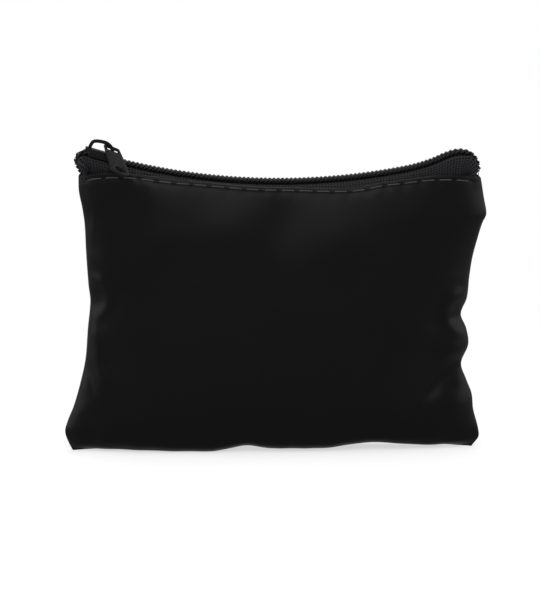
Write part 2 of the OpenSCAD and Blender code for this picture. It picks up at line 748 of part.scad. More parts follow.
// Shares of the seams between which they are stitched: up a side seam, and across the bottom.
side_stitch_shares = [0.06, 0.93];
bottom_stitch_shares = [-0.94, 0.9];
module side_seam_stitches(side) {
  step = seam_pitch / seam_top;
  for (w = [side_stitch_shares[0] : step : side_stitch_shares[1]])
    rod(on_seam_inside(side, w), on_seam_inside(side, w + step * seam_stitch / seam_pitch), thread);
}
module left_seam_stitches() {
  color(thread_colour) side_seam_stitches(-1);
}
module right_seam_stitches() {
  color(thread_colour) side_seam_stitches(1);
}
module bottom_seam_stitches() {
  step = seam_pitch / half_width;
  color(thread_colour)
    for (s = [bottom_stitch_shares[0] : step : bottom_stitch_shares[1]])
      rod(on_seam_inside(s, 0), on_seam_inside(s + step * seam_stitch / seam_pitch, 0), thread);
}

front_panel();
rear_panel();
front_zip_tape();
rear_zip_tape();
front_coil();
rear_coil();
front_coil_cord();
rear_coil_cord();
front_coil_thread();
rear_coil_thread();
slider_body();
slider_bail();
pull_tab();
front_top_stitches();
front_bobbin_stitches();
rear_top_stitches();
rear_bobbin_stitches();
left_seam_stitches();
right_seam_stitches();
bottom_seam_stitches();
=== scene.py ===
"""A small zip purse of smooth black coated cloth, dressed around its packed construction.

Every length in this file is in millimetres until a mesh or a lamp is made, and X runs along the
zip, the front faces -Y and Z is up, as in the construction.
"""

import logging
import math
from dataclasses import dataclass, field
from enum import Enum

import bmesh
import bpy
import numpy as np
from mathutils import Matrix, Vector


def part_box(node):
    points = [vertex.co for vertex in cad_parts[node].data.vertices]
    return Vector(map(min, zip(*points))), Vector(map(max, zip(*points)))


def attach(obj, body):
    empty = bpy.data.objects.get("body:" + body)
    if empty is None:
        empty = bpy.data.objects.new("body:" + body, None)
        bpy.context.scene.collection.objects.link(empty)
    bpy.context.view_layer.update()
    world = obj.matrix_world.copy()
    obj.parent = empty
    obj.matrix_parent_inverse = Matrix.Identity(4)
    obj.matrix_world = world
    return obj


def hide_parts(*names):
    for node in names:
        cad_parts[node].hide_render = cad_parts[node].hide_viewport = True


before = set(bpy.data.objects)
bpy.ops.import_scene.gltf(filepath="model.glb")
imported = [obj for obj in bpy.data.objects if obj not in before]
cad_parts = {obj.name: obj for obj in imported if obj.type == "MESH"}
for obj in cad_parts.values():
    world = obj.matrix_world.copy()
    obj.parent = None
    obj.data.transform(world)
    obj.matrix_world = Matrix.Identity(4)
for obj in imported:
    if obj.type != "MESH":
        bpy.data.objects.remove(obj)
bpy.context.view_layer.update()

MM = 0.001
# Unit directions along the zip, across it and up
X_WAY, Y_WAY, Z_WAY = np.eye(3)
log = logging.getLogger("purse")


class Side(Enum):
    """The two faces of the purse, each with the sign of its Y."""

    FRONT = -1
    REAR = 1


class Body(Enum):
    """The bodies of the construction that pieces ride on."""

    PURSE = "purse"
    SLIDER = "slider"
    PULL = "pull"


# Small functions on arrays


def soft(share: np.ndarray) -> np.ndarray:
    """A smooth step from 0 to 1: with t held between 0 and 1, t squared times (3 - 2t)."""
    held = np.clip(share, 0.0, 1.0)
    return held * held * (3.0 - 2.0 * held)


def mix(start: np.ndarray, end: np.ndarray, share: np.ndarray) -> np.ndarray:
    """The value that lies at a share of the way from start to end."""
    return start + (end - start) * share


def unit(vectors: np.ndarray) -> np.ndarray:
    """The vectors of the last axis, each divided by its length."""
    return vectors / np.maximum(np.linalg.norm(vectors, axis=-1, keepdims=True), 1e-9)


def points_of(*parts: np.ndarray) -> np.ndarray:
    """Puts coordinate arrays side by side on a new last axis."""
    return np.stack(np.broadcast_arrays(*parts), axis=-1).astype(float)


def lengths_along(path: np.ndarray) -> np.ndarray:
    """Running length from a path's first point to each of its points.

    Args:
        path: Points on the last axis but one, coordinates on the last. Axes before them hold more
            paths.

    Returns:
        One length for each point, starting at 0.
    """
    step = np.linalg.norm(np.diff(path, axis=-2), axis=-1)
    return np.concatenate([np.zeros(step.shape[:-1] + (1,)), np.cumsum(step, axis=-1)], axis=-1)


def square_to(path: np.ndarray, across: np.ndarray) -> tuple[np.ndarray, np.ndarray]:
    """Two unit directions that are square to a path and to each other.

    Args:
        path: Points, shaped (..., stations, 3).
        across: A direction that is never along the path, shaped as the path or (3,).

    Returns:
        The cross product of the path's direction with across, and that of the first one with the
        path's direction.
    """
    along = unit(np.gradient(path, axis=-2))
    up = unit(np.cross(along, np.broadcast_to(across, path.shape)))
    return up, unit(np.cross(up, along))


def cut_corners(rows: np.ndarray, times: int) -> np.ndarray:
    """Rounds lines of points: each pass puts points at a quarter and three quarters of every
    stretch and keeps the two end points, so that the line stays inside its first corners.

    Args:
        rows: Lines of points, shaped (lines, points, coordinates).
        times: Number of passes.

    Returns:
        The rounded lines, with about twice as many points after each pass.
    """
    for _ in range(times):
        start, end = rows[:, :-1], rows[:, 1:]
        pairs = np.stack([0.75 * start + 0.25 * end, 0.25 * start + 0.75 * end], axis=2)
        between = pairs.reshape(rows.shape[0], -1, rows.shape[-1])
        rows = np.concatenate([rows[:, :1], between, rows[:, -1:]], axis=1)
    return rows


def grid_normals(grid: np.ndarray) -> np.ndarray:
    """Unit normals of a grid of points: the cross product of its two directions."""
    return unit(np.cross(np.gradient(grid, axis=0), np.gradient(grid, axis=1)))


@dataclass(frozen=True)
class Knots:
    """A curve through given places, listed as (place, value) pairs."""

    places: tuple[tuple[float, float], ...]

    def _span(self, x: np.ndarray) -> tuple[np.ndarray, ...]:
        """Finds the stretch that each x lies in, and how far along it.

        Args:
            x: Places to read the curve at.

        Returns:
            The curve's places and values, then for each x the number of its stretch, that
            stretch's width and the share of it that lies before x.
        """
        at, value = np.array(self.places, float).T
        i = np.clip(np.searchsorted(at, x, side="right") - 1, 0, len(at) - 2)
        width = at[i + 1] - at[i]
        return at, value, i, width, np.clip((x - at[i]) / width, 0.0, 1.0)

    def curve(self, x: np.ndarray) -> np.ndarray:
        """A cubic through the places, whose slope at each is that of the line between its
        two neighbours.

        Args:
            x: Places to read the curve at.

        Returns:
            The curve's values, held at the first and last place beyond them.
        """
        at, value, i, width, u = self._span(np.asarray(x, float))
        before = np.maximum(np.arange(len(at)) - 1, 0)
        after = np.minimum(np.arange(len(at)) + 1, len(at) - 1)
        slope = (value[after] - value[before]) / (at[after] - at[before])
        u2, u3 = u * u, u * u * u
        return (
            (2 * u3 - 3 * u2 + 1) * value[i]
            + (u3 - 2 * u2 + u) * width * slope[i]
            + (3 * u2 - 2 * u3) * value[i + 1]
            + (u3 - u2) * width * slope[i + 1]
        )

    def steps(self, x: np.ndarray) -> np.ndarray:
        """The places joined by gentle steps that are level at every place."""
        _, value, i, _, u = self._span(np.asarray(x, float))
        return mix(value[i], value[i + 1], soft(u))


# Meshes


def closed_mesh(
    name: str, rings: np.ndarray, grain: np.ndarray | None = None, sharp_deg: float = 50.0
) -> bpy.types.Object:
    """Makes one object from rings of points that are carried along paths.

    Face (i, k) joins points k and k + 1 of rings i and i + 1, where the last point of a ring joins
    the first, and the first and last ring of a path are each closed by one face. A closed surface
    whose faces point inwards holds a negative volume, and its faces are then turned round.

    Args:
        name: Name of the object.
        rings: Points in millimetres, shaped (paths, stations, around, 3) or (stations, around, 3).
        grain: Pattern coordinates in millimetres, shaped as rings but with around + 1 points a
            ring and 2 coordinates, or None.
        sharp_deg: Angle between two faces above which their shared edge is drawn sharp.

    Returns:
        The new object, at the origin.
    """
    rings = rings.reshape((-1,) + rings.shape[-3:])
    paths, stations, around, _ = rings.shape
    points = rings.reshape(-1, 3)
    i, k = np.meshgrid(np.arange(stations - 1), np.arange(around), indexing="ij")
    turns = np.stack([
        np.stack([i, k]), np.stack([i, k + 1]), np.stack([i + 1, k + 1]), np.stack([i + 1, k]),
    ])
    turns = turns.transpose(2, 3, 0, 1).reshape(-1, 4, 2)
    starts = np.arange(paths)[:, None, None]
    quads = turns[None, ..., 0] * around + turns[None, ..., 1] % around
    quads = (quads + starts * stations * around).reshape(-1, 4)
    ring = np.arange(around)
    ends = np.stack([ring[::-1], (stations - 1) * around + ring])
    caps = (ends[None] + starts * stations * around).reshape(-1, around)
    a, b, c, d = (points[quads[:, j]] for j in range(4))
    inside = np.einsum("ij,ij->", a, np.cross(b, c)) + np.einsum("ij,ij->", a, np.cross(c, d))
    for j in range(1, around - 1):
        first, second, third = points[caps[:, 0]], points[caps[:, j]], points[caps[:, j + 1]]
        inside += np.einsum("ij,ij->", first, np.cross(second, third))
    if inside < 0:
        quads, caps = quads[:, ::-1], caps[:, ::-1]
    mesh = bpy.data.meshes.new(name)
    mesh.from_pydata((points * MM).tolist(), [], quads.tolist() + caps.tolist())
    if grain is not None:
        table = grain.reshape(paths, -1, 2)
        corner = turns[..., 0] * (around + 1) + turns[..., 1]
        rims = np.stack([ring[::-1], (stations - 1) * (around + 1) + ring])
        if inside < 0:
            corner, rims = corner[:, ::-1], rims[:, ::-1]
        uv = np.concatenate([table[:, corner].reshape(-1, 2), table[:, rims].reshape(-1, 2)])
        layer = mesh.uv_layers.new(name="grain")
        layer.uv.foreach_set("vector", (uv * MM).astype(np.float32).ravel())
    mesh.polygons.foreach_set("use_smooth", np.ones(len(mesh.polygons), bool))
    mesh.set_sharp_from_angle(angle=math.radians(sharp_deg))
    mesh.update()
    piece = bpy.data.objects.new(name, mesh)
    bpy.context.scene.collection.objects.link(piece)
    return piece


def tube_rings(
    path: np.ndarray, across: np.ndarray, radius: np.ndarray | float, sides: int, flat: float = 1.0
) -> np.ndarray:
    """Carries a ring along paths: p + r cos(a) A + r sin(a) flat B, where B is square to the path
    and to the given direction across, and A is square to both.

    Args:
        path: Points in millimetres, shaped (..., stations, 3).
        across: A direction that is never along the path, shaped as the path or (3,).
        radius: Radius of the ring, one for all or one for each station.
        sides: Number of points in a ring.
        flat: Share by which the ring is flattened along B.

    Returns:
        Rings of points, shaped (..., stations, sides, 3).
    """
    up, over = square_to(path, across)
    angle = (2 * math.pi * np.arange(sides) / sides)[:, None]
    size = np.broadcast_to(radius, path.shape[:-1])[..., None, None]
    turn = np.cos(angle) * over[..., None, :] + flat * np.sin(angle) * up[..., None, :]
    return path[..., None, :] + size * turn


def twisted(
    path: np.ndarray, across: np.ndarray, thread: float, lay: float, sides: int
) -> np.ndarray:
    """Lays two strands round each other along paths, as a two-ply sewing thread: each strand runs
    round the path at a quarter of the thread's diameter and turns once in every lay.

    Args:
        path: Points in millimetres, shaped (paths, stations, 3).
        across: A direction that is never along the path.
        thread: Diameter of the whole thread.
        lay: Length of path in which a strand turns once.
        sides: Number of points round a strand.

    Returns:
        Rings of points, shaped (2 * paths, stations, sides, 3).
    """
    # A strand's radius as a share of the thread's diameter, and what is left of it at its ends
    strand_share = 0.3
    end_share = 0.35
    up, over = square_to(path, across)
    strands = []
    for start in (0.0, math.pi):
        angle = (2 * math.pi * lengths_along(path) / lay + start)[..., None]
        strands.append(path + thread / 4 * (np.cos(angle) * over + np.sin(angle) * up))
    from_end = np.minimum(np.arange(path.shape[-2]), np.arange(path.shape[-2])[::-1])
    radius = thread * strand_share * np.where(from_end == 0, end_share, 1.0)
    return tube_rings(np.concatenate(strands), np.concatenate([up, up]), radius, sides)


def rounded_copy(node: str, name: str, edge: float) -> bpy.types.Object:
    """Copies a node of the construction and rounds its edges, as a die-cast piece has them.

    Args:
        node: Name of the node.
        name: Name of the new piece.
        edge: Width of the rounding in millimetres.

    Returns:
        The new piece, with a live Bevel modifier.
    """
    # Points closer than the weld become one, faces closer in angle than flat_deg become one face,
    # and edges sharper than round_deg are rounded with so many faces
    weld = 0.002
    flat_deg = 2.0
    round_deg = 28.0
    faces_across = 4
    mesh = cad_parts[node].data.copy()
    mesh.name = name
    shape = bmesh.new()
    shape.from_mesh(mesh)
    bmesh.ops.remove_doubles(shape, verts=shape.verts, dist=weld * MM)
    bmesh.ops.dissolve_limit(
        shape, angle_limit=math.radians(flat_deg), verts=shape.verts, edges=shape.edges
    )
    shape.to_mesh(mesh)
    shape.free()
    mesh.polygons.foreach_set("use_smooth", np.ones(len(mesh.polygons), bool))
    mesh.materials.clear()
    piece = bpy.data.objects.new(name, mesh)
    bpy.context.scene.collection.objects.link(piece)
    rounding = piece.modifiers.new("rounding", "BEVEL")
    rounding.width = edge * MM
    rounding.segments = faces_across
    rounding.limit_method = "ANGLE"
    rounding.angle_limit = math.radians(round_deg)
    rounding.harden_normals = True
    return piece


# Finishes


def linear(hex_colour: str) -> tuple[float, float, float, float]:
    """Turns an sRGB hex colour to linear light.

    Args:
        hex_colour: A colour such as "#1b1b1c".

    Returns:
        Red, green and blue in linear light, and 1 for alpha.
    """
    shares = [int(hex_colour[i : i + 2], 16) / 255 for i in (1, 3, 5)]
    light = [c / 12.92 if c <= 0.04045 else ((c + 0.055) / 1.055) ** 2.4 for c in shares]
    return (light[0], light[1], light[2], 1.0)


def add_node(
    tree: bpy.types.NodeTree, kind: str, inputs: dict, **settings: object
) -> bpy.types.Node:
    """Adds a node with its settings and links.

    Args:
        tree: The node tree.
        kind: The node's type, without its "ShaderNode" start.
        inputs: Socket names with a value, or with the output socket to link to them.
        settings: Properties of the node.

    Returns:
        The new node.
    """
    node = tree.nodes.new("ShaderNode" + kind)
    for key, value in settings.items():
        setattr(node, key, value)
    for key, value in inputs.items():
        if isinstance(value, bpy.types.NodeSocket):
            tree.links.new(value, node.inputs[key])
        else:
            node.inputs[key].default_value = value
    return node


@dataclass(frozen=True)
class Finish:
    """What every finish has: a name, a colour, and how its surface takes light."""

    name: str
    colour: str
    roughness: float
    specular: float

    def start(self) -> tuple[bpy.types.Material, bpy.types.NodeTree, bpy.types.Node]:
        """Makes the material with its Principled shader, whose constants are set on its sockets.

        Returns:
            The material, its node tree and its shader.
        """
        material = bpy.data.materials.new(self.name)
        material.use_nodes = True
        tree = material.node_tree
        shader = tree.nodes["Principled BSDF"]
        shader.inputs["Base Color"].default_value = linear(self.colour)
        shader.inputs["Roughness"].default_value = self.roughness
        shader.inputs["Specular IOR Level"].default_value = self.specular
        return material, tree, shader


@dataclass(frozen=True)
class CoatedCloth(Finish):
    """Cloth with a smooth polyurethane coat that was rolled on and cured: a dim, satin sheen, a
    very fine leather-like grain, and folds and edges that handling has dulled a little."""

    worn_colour: str = "#131314"
    grain: float = 0.55
    relief: float = 0.02
    mottle: float = 14.0
    gloss_change: tuple[float, float] = (-0.03, 0.05)

    def material(self) -> bpy.types.Material:
        """Builds the material: a grain of cells and noise for bump, and slow changes of gloss.

        Returns:
            The material.
        """
        material, tree, shader = self.start()
        place = add_node(tree, "TexCoord", {}).outputs["Object"]
        cells = add_node(
            tree, "TexVoronoi", {"Vector": place, "Scale": 1 / (self.grain * MM)},
            feature="DISTANCE_TO_EDGE",
        )
        fine = add_node(
            tree, "TexNoise", {"Vector": place, "Scale": 2 / (self.grain * MM), "Detail": 3.0}
        )
        slow = add_node(
            tree, "TexNoise", {"Vector": place, "Scale": 1 / (self.mottle * MM), "Detail": 2.0}
        )
        grain = add_node(
            tree, "Math", {0: cells.outputs["Distance"], 1: fine.outputs[0]}, operation="ADD"
        )
        gloss = add_node(
            tree, "MapRange",
            {"Value": slow.outputs[0], "From Min": 0.3, "From Max": 0.7,
             "To Min": self.roughness + self.gloss_change[0],
             "To Max": self.roughness + self.gloss_change[1]},
        )
        wear = add_node(tree, "Attribute", {}, attribute_name="wear")
        shade = add_node(
            tree, "MixRGB",
            {"Fac": wear.outputs["Fac"], "Color1": linear(self.colour),
             "Color2": linear(self.worn_colour)},
        )
        bump = add_node(
            tree, "Bump",
            {"Height": grain.outputs[0], "Strength": 0.22, "Distance": self.relief * MM},
        )
        tree.links.new(shade.outputs[0], shader.inputs["Base Color"])
        tree.links.new(gloss.outputs[0], shader.inputs["Roughness"])
        tree.links.new(bump.outputs[0], shader.inputs["Normal"])
        return material


@dataclass(frozen=True)
class KnittedBacking(Finish):
    """The knitted base that carries the coat: matt black yarn in fine loops."""

    gauge: float = 0.7
    relief: float = 0.15
    # A Wave texture at scale 1 has a band every 0.31 units. The loops' rows lie a little closer
    # together than their columns
    band_shares: tuple[float, float] = (0.31, 0.4)

    def material(self) -> bpy.types.Material:
        """Builds the material: waves both ways make the loops' columns and rows.

        Returns:
            The material.
        """
        material, tree, shader = self.start()
        place = add_node(tree, "TexCoord", {}).outputs["Object"]
        waves = []
        for axis, share in zip("XZ", self.band_shares):
            wave = add_node(
                tree, "TexWave",
                {"Vector": place, "Scale": share / (self.gauge * MM), "Distortion": 0.6},
                bands_direction=axis,
            )
            waves.append(wave.outputs["Fac"])
        loops = add_node(tree, "Math", {0: waves[0], 1: waves[1]}, operation="MULTIPLY")
        bump = add_node(tree, "Bump", {"Height": loops.outputs[0], "Distance": self.relief * MM})
        tree.links.new(bump.outputs[0], shader.inputs["Normal"])
        return material


@dataclass(frozen=True)
class WovenTape(Finish):
    """Woven polyester tape: matt, with ribs across it and small openings between its yarns. Its
    colour is the tape's own on the yarn tops and darkens to painted shade down in the openings."""

    # Painted shade: the near-black colour that the openings between the yarns take
    opening_shade_colour: str = "#060606"
    # The pitches of the ribs and of the rows, drawn a little coarser than real so that they show
    rib: float = 0.9
    row: float = 0.75
    uneven: float = 1.6
    relief: float = 0.12

    def material(self) -> bpy.types.Material:
        """Builds the material on the tape's own coordinates, which run along and across it.

        Returns:
            The material.
        """
        material, tree, shader = self.start()
        place = add_node(tree, "UVMap", {}, uv_map="grain").outputs[0]
        axes = add_node(tree, "SeparateXYZ", {"Vector": place})
        waves = []
        for axis, pitch in (("X", self.rib), ("Y", self.row)):
            turn = add_node(
                tree, "Math", {0: axes.outputs[axis], 1: 2 * math.pi / (pitch * MM)},
                operation="MULTIPLY",
            )
            waves.append(add_node(tree, "Math", {0: turn.outputs[0]}, operation="SINE"))
        weave = add_node(
            tree, "Math", {0: waves[0].outputs[0], 1: waves[1].outputs[0]}, operation="MAXIMUM"
        )
        uneven = add_node(
            tree, "TexNoise", {"Vector": place, "Scale": 1 / (self.uneven * MM), "Detail": 3.0}
        )
        height = add_node(
            tree, "Math", {0: weave.outputs[0], 1: uneven.outputs[0]}, operation="ADD"
        )
        # Painted shade: the colour darkens from the tape's own on the yarn tops to near black where
        # the weave lies low
        unshaded_share = add_node(
            tree, "MapRange", {"Value": height.outputs[0], "From Min": 0.0, "From Max": 1.1}
        )
        shade = add_node(
            tree, "MixRGB",
            {"Fac": unshaded_share.outputs[0], "Color1": linear(self.opening_shade_colour),
             "Color2": linear(self.colour)},
        )
        bump = add_node(tree, "Bump", {"Height": height.outputs[0], "Distance": self.relief * MM})
        tree.links.new(shade.outputs[0], shader.inputs["Base Color"])
        tree.links.new(bump.outputs[0], shader.inputs["Normal"])
        return material


@dataclass(frozen=True)
class DrawnNylon(Finish):
    """Nylon wire, drawn and wound hot: satin black, with faint uneven patches of gloss."""

    patch: float = 0.5
    relief: float = 0.02
    gloss_change: tuple[float, float] = (-0.06, 0.1)

    def material(self) -> bpy.types.Material:
        """Builds the material: noise for the patches, in gloss and in bump.

        Returns:
            The material.
        """
        material, tree, shader = self.start()
        place = add_node(tree, "TexCoord", {}).outputs["Object"]
        patches = add_node(
            tree, "TexNoise", {"Vector": place, "Scale": 1 / (self.patch * MM), "Detail": 2.0}
        )
        gloss = add_node(
            tree, "MapRange",
            {"Value": patches.outputs[0], "To Min": self.roughness + self.gloss_change[0],
             "To Max": self.roughness + self.gloss_change[1]},
        )
        bump = add_node(
            tree, "Bump",
            {"Height": patches.outputs[0], "Strength": 0.4, "Distance": self.relief * MM},
        )
        tree.links.new(gloss.outputs[0], shader.inputs["Roughness"])
        tree.links.new(bump.outputs[0], shader.inputs["Normal"])
        return material


@dataclass(frozen=True)
class PaintedZinc(Finish):
    """Die-cast zinc under a thin baked black paint: even and satin, with a slight orange-peel skin
    and paler rubbed edges."""

    rubbed_colour: str = "#1c1c1e"
    # How sharply an edge stands out where its paint begins to be rubbed, and where it is
    rubbed_from: float = 0.52
    rubbed_at: float = 0.62
    peel: float = 0.45
    relief: float = 0.03

    def material(self) -> bpy.types.Material:
        """Builds the material: noise for the paint's skin, and paler paint along sharp edges.

        Returns:
            The material.
        """
        material, tree, shader = self.start()
        place = add_node(tree, "TexCoord", {}).outputs["Object"]
        peel = add_node(
            tree, "TexNoise", {"Vector": place, "Scale": 1 / (self.peel * MM), "Detail": 2.0}
        )
        rub = add_node(tree, "NewGeometry", {})
        edge = add_node(
            tree, "MapRange",
            {"Value": rub.outputs["Pointiness"], "From Min": self.rubbed_from,
             "From Max": self.rubbed_at},
        )
        shade = add_node(
            tree, "MixRGB",
            {"Fac": edge.outputs[0], "Color1": linear(self.colour),
             "Color2": linear(self.rubbed_colour)},
        )
        bump = add_node(
            tree, "Bump",
            {"Height": peel.outputs[0], "Strength": 0.3, "Distance": self.relief * MM},
        )
        tree.links.new(shade.outputs[0], shader.inputs["Base Color"])
        tree.links.new(bump.outputs[0], shader.inputs["Normal"])
        return material


@dataclass(frozen=True)
class SpunThread(Finish):
    """Spun polyester sewing thread: matt and a little hairy, with painted shade in the pits between
    its fibres.
    """

    # Painted shade: the colour of the pits between the fibres
    pit_shade_colour: str = "#1c1c1d"
    # A real fibre is about 0.02 mm thick, which wouldn't show, so these are drawn coarser
    fibre: float = 0.08
    relief: float = 0.04

    def material(self) -> bpy.types.Material:
        """Builds the material: fine noise for the fibres, in colour and in bump.

        Returns:
            The material.
        """
        material, tree, shader = self.start()
        place = add_node(tree, "TexCoord", {}).outputs["Object"]
        fibres = add_node(
            tree, "TexNoise", {"Vector": place, "Scale": 1 / (self.fibre * MM), "Detail": 2.0}
        )
        # Painted shade: the colour darkens towards the pits' colour where the noise, and so the
        # bump, is low
        shade = add_node(
            tree, "MixRGB",
            {"Fac": fibres.outputs[0], "Color1": linear(self.pit_shade_colour),
             "Color2": linear(self.colour)},
        )
        bump = add_node(
            tree, "Bump",
            {"Height": fibres.outputs[0], "Strength": 0.5, "Distance": self.relief * MM},
        )
        tree.links.new(shade.outputs[0], shader.inputs["Base Color"])
        tree.links.new(bump.outputs[0], shader.inputs["Normal"])
        return material


# Cloth relief


@dataclass(frozen=True)
class Crescent:
    """A curved ridge round a pinch in the seam, with a hollow inside it: the ridge's height falls
    off on both sides of its circle as exp(-(distance / spread) squared), and it fades at both
    ends of its arc."""

    x: float
    z: float
    radius: float
    spread: float
    height: float
    hollow: float
    middle_deg: float
    half_deg: float
    # Shares of half the arc at which the ridge begins to fade and over which it fades, and the
    # hollow's reach as a share of the ridge's radius
    fade_from: float = 0.6
    fade_over: float = 0.8
    hollow_share: float = 0.62

    def lift(self, x: np.ndarray, z: np.ndarray) -> np.ndarray:
        """Height of this form at places on the panel.

        Args:
            x: Places along the panel.
            z: Heights up the panel.

        Returns:
            Heights outwards.
        """
        dx, dz = x - self.x, z - self.z
        reach = np.hypot(dx, dz)
        turn = np.degrees(np.arctan2(dz, dx)) - self.middle_deg
        turn = np.abs((turn + 180) % 360 - 180)
        fade = 1 - soft((turn - self.half_deg * self.fade_from) / (self.half_deg * self.fade_over))
        ridge = self.height * np.exp(-(((reach - self.radius) / self.spread) ** 2))
        inside = self.hollow * np.exp(-((reach / (self.radius * self.hollow_share)) ** 2))
        return ridge * fade - inside


@dataclass(frozen=True)
class Fold:
    """A long ridge, or with a negative height a valley, from one place to another: its height
    falls off across it as exp(-(distance / spread) squared), swells in from its start and fades to
    its end, and its line bows sideways in the middle."""

    start: tuple[float, float]
    end: tuple[float, float]
    spread: float
    height: float
    bow: float = 0.0
    start_fade: float = 0.25
    end_fade: float = 0.5

    def lift(self, x: np.ndarray, z: np.ndarray) -> np.ndarray:
        """Height of this form at places on the panel.

        Args:
            x: Places along the panel.
            z: Heights up the panel.

        Returns:
            Heights outwards.
        """
        ax, az = self.start
        dx, dz = self.end[0] - ax, self.end[1] - az
        length = math.hypot(dx, dz)
        share = ((x - ax) * dx + (z - az) * dz) / length**2
        beside = ((x - ax) * dz - (z - az) * dx) / length - self.bow * 4 * share * (1 - share)
        fade = soft(share / self.start_fade + 0.5) * soft((1 - share) / self.end_fade + 0.5)
        return self.height * np.exp(-((beside / self.spread) ** 2)) * fade


@dataclass(frozen=True)
class Swell:
    """A soft rise, or with a negative height a hollow: exp of minus the squared distance in
    shares of its two radii, turned by its tilt."""

    x: float
    z: float
    reach: float
    rise: float
    height: float
    tilt_deg: float = 0.0

    def lift(self, x: np.ndarray, z: np.ndarray) -> np.ndarray:
        """Height of this form at places on the panel.

        Args:
            x: Places along the panel.
            z: Heights up the panel.

        Returns:
            Heights outwards.
        """
        c, s = math.cos(math.radians(self.tilt_deg)), math.sin(math.radians(self.tilt_deg))
        along = (x - self.x) * c + (z - self.z) * s
        up = (z - self.z) * c - (x - self.x) * s
        return self.height * np.exp(-((along / self.reach) ** 2) - (up / self.rise) ** 2)


# A Crescent's values are its X, Z, radius, spread, height and hollow, then the middle and half of
# its arc in degrees. A Fold's are its start, end, spread and height, and a Swell's are its X, Z,
# two radii, height and tilt
FRONT_RELIEF = (
    # The left seam's pinch, the crescent round it and the ridge that runs down from it
    Crescent(-54.2, 46.4, 5.4, 1.7, 0.6, 0.5, 5, 75),
    Fold((-53.6, 40.5), (-50.8, 22.0), 1.8, 0.7, bow=0.8),
    Fold((-56.0, 30.0), (-53.5, 18.5), 1.6, -0.5),
    Fold((-54.5, 57.0), (-53.2, 71.0), 1.2, 0.25),
    # The right seam's two pinches
    Crescent(55.6, 41.0, 5.4, 2.1, 0.7, 0.5, 180, 95),
    Fold((56.5, 25.8), (42.0, 15.6), 2.8, -0.9, bow=0.7, end_fade=0.9),
    Swell(51.5, 29.8, 5.5, 2.6, 0.5, 30),
    Swell(53.0, 13.0, 7.5, 4.5, 0.45, -20),
    Fold((57.5, 18.6), (50.5, 19.0), 1.6, -0.25),
    # The soft tension along the hem
    Swell(-17.0, 65.5, 11.5, 7.5, 0.55, 12),
    Swell(22.0, 62.5, 11.0, 7.0, 0.55, 8),
    Swell(2.5, 70.0, 5.5, 8.0, -0.35),
    Fold((22.3, 77.8), (27.0, 60.0), 4.5, -0.12, end_fade=0.8),
    Swell(-44.0, 75.0, 6.5, 5.0, -0.45, -25),
    Swell(-36.0, 62.0, 10.0, 7.0, 0.3, 40),
    Swell(46.0, 70.0, 9.0, 6.5, 0.12, -35),
    # The base, which rests on the table
    Swell(-6.0, 5.5, 13.0, 4.5, -0.6),
    Swell(28.0, 6.0, 12.0, 4.5, -0.55),
    Swell(-38.0, 9.0, 12.0, 5.5, 0.45, -10),
    Swell(11.0, 8.5, 8.0, 5.0, 0.4, 8),
)

REAR_RELIEF = (
    # The left seam's pinch
    Crescent(-54.0, 45.8, 5.0, 1.2, 0.5, 0.7, 0, 80),
    Fold((-53.0, 38.0), (-46.5, 27.0), 1.7, 0.5, bow=-0.8),
    Fold((-55.5, 30.0), (-50.0, 21.0), 1.5, -0.45),
    # The right seam's two pinches
    Crescent(55.4, 40.8, 5.2, 1.3, 0.5, 0.8, 180, 85),
    Fold((56.3, 25.6), (45.0, 20.6), 1.7, -0.85, bow=-0.6, end_fade=0.9),
    Swell(50.5, 31.0, 6.0, 2.8, 0.45, -15),
    Swell(51.0, 12.5, 8.0, 5.0, 0.4, 15),
    # The soft tension along the hem
    Swell(-20.0, 68.0, 13.0, 7.0, 0.45, -10),
    Fold((-4.0, 74.5), (12.0, 62.0), 3.4, 0.4, bow=0.9),
    Swell(30.0, 69.0, 10.0, 7.0, -0.35, 20),
    Swell(44.0, 63.0, 9.0, 9.0, 0.35, 30),
    Swell(-42.0, 60.0, 9.0, 8.0, -0.3, 30),
    # The base, which rests on the table
    Swell(-8.0, 6.0, 12.0, 4.5, -0.55),
    Swell(28.0, 6.0, 12.0, 4.5, -0.5),
    Swell(-36.0, 10.0, 13.0, 5.5, 0.45, 10),
    Swell(10.0, 9.0, 9.0, 5.0, 0.35, -8),
)


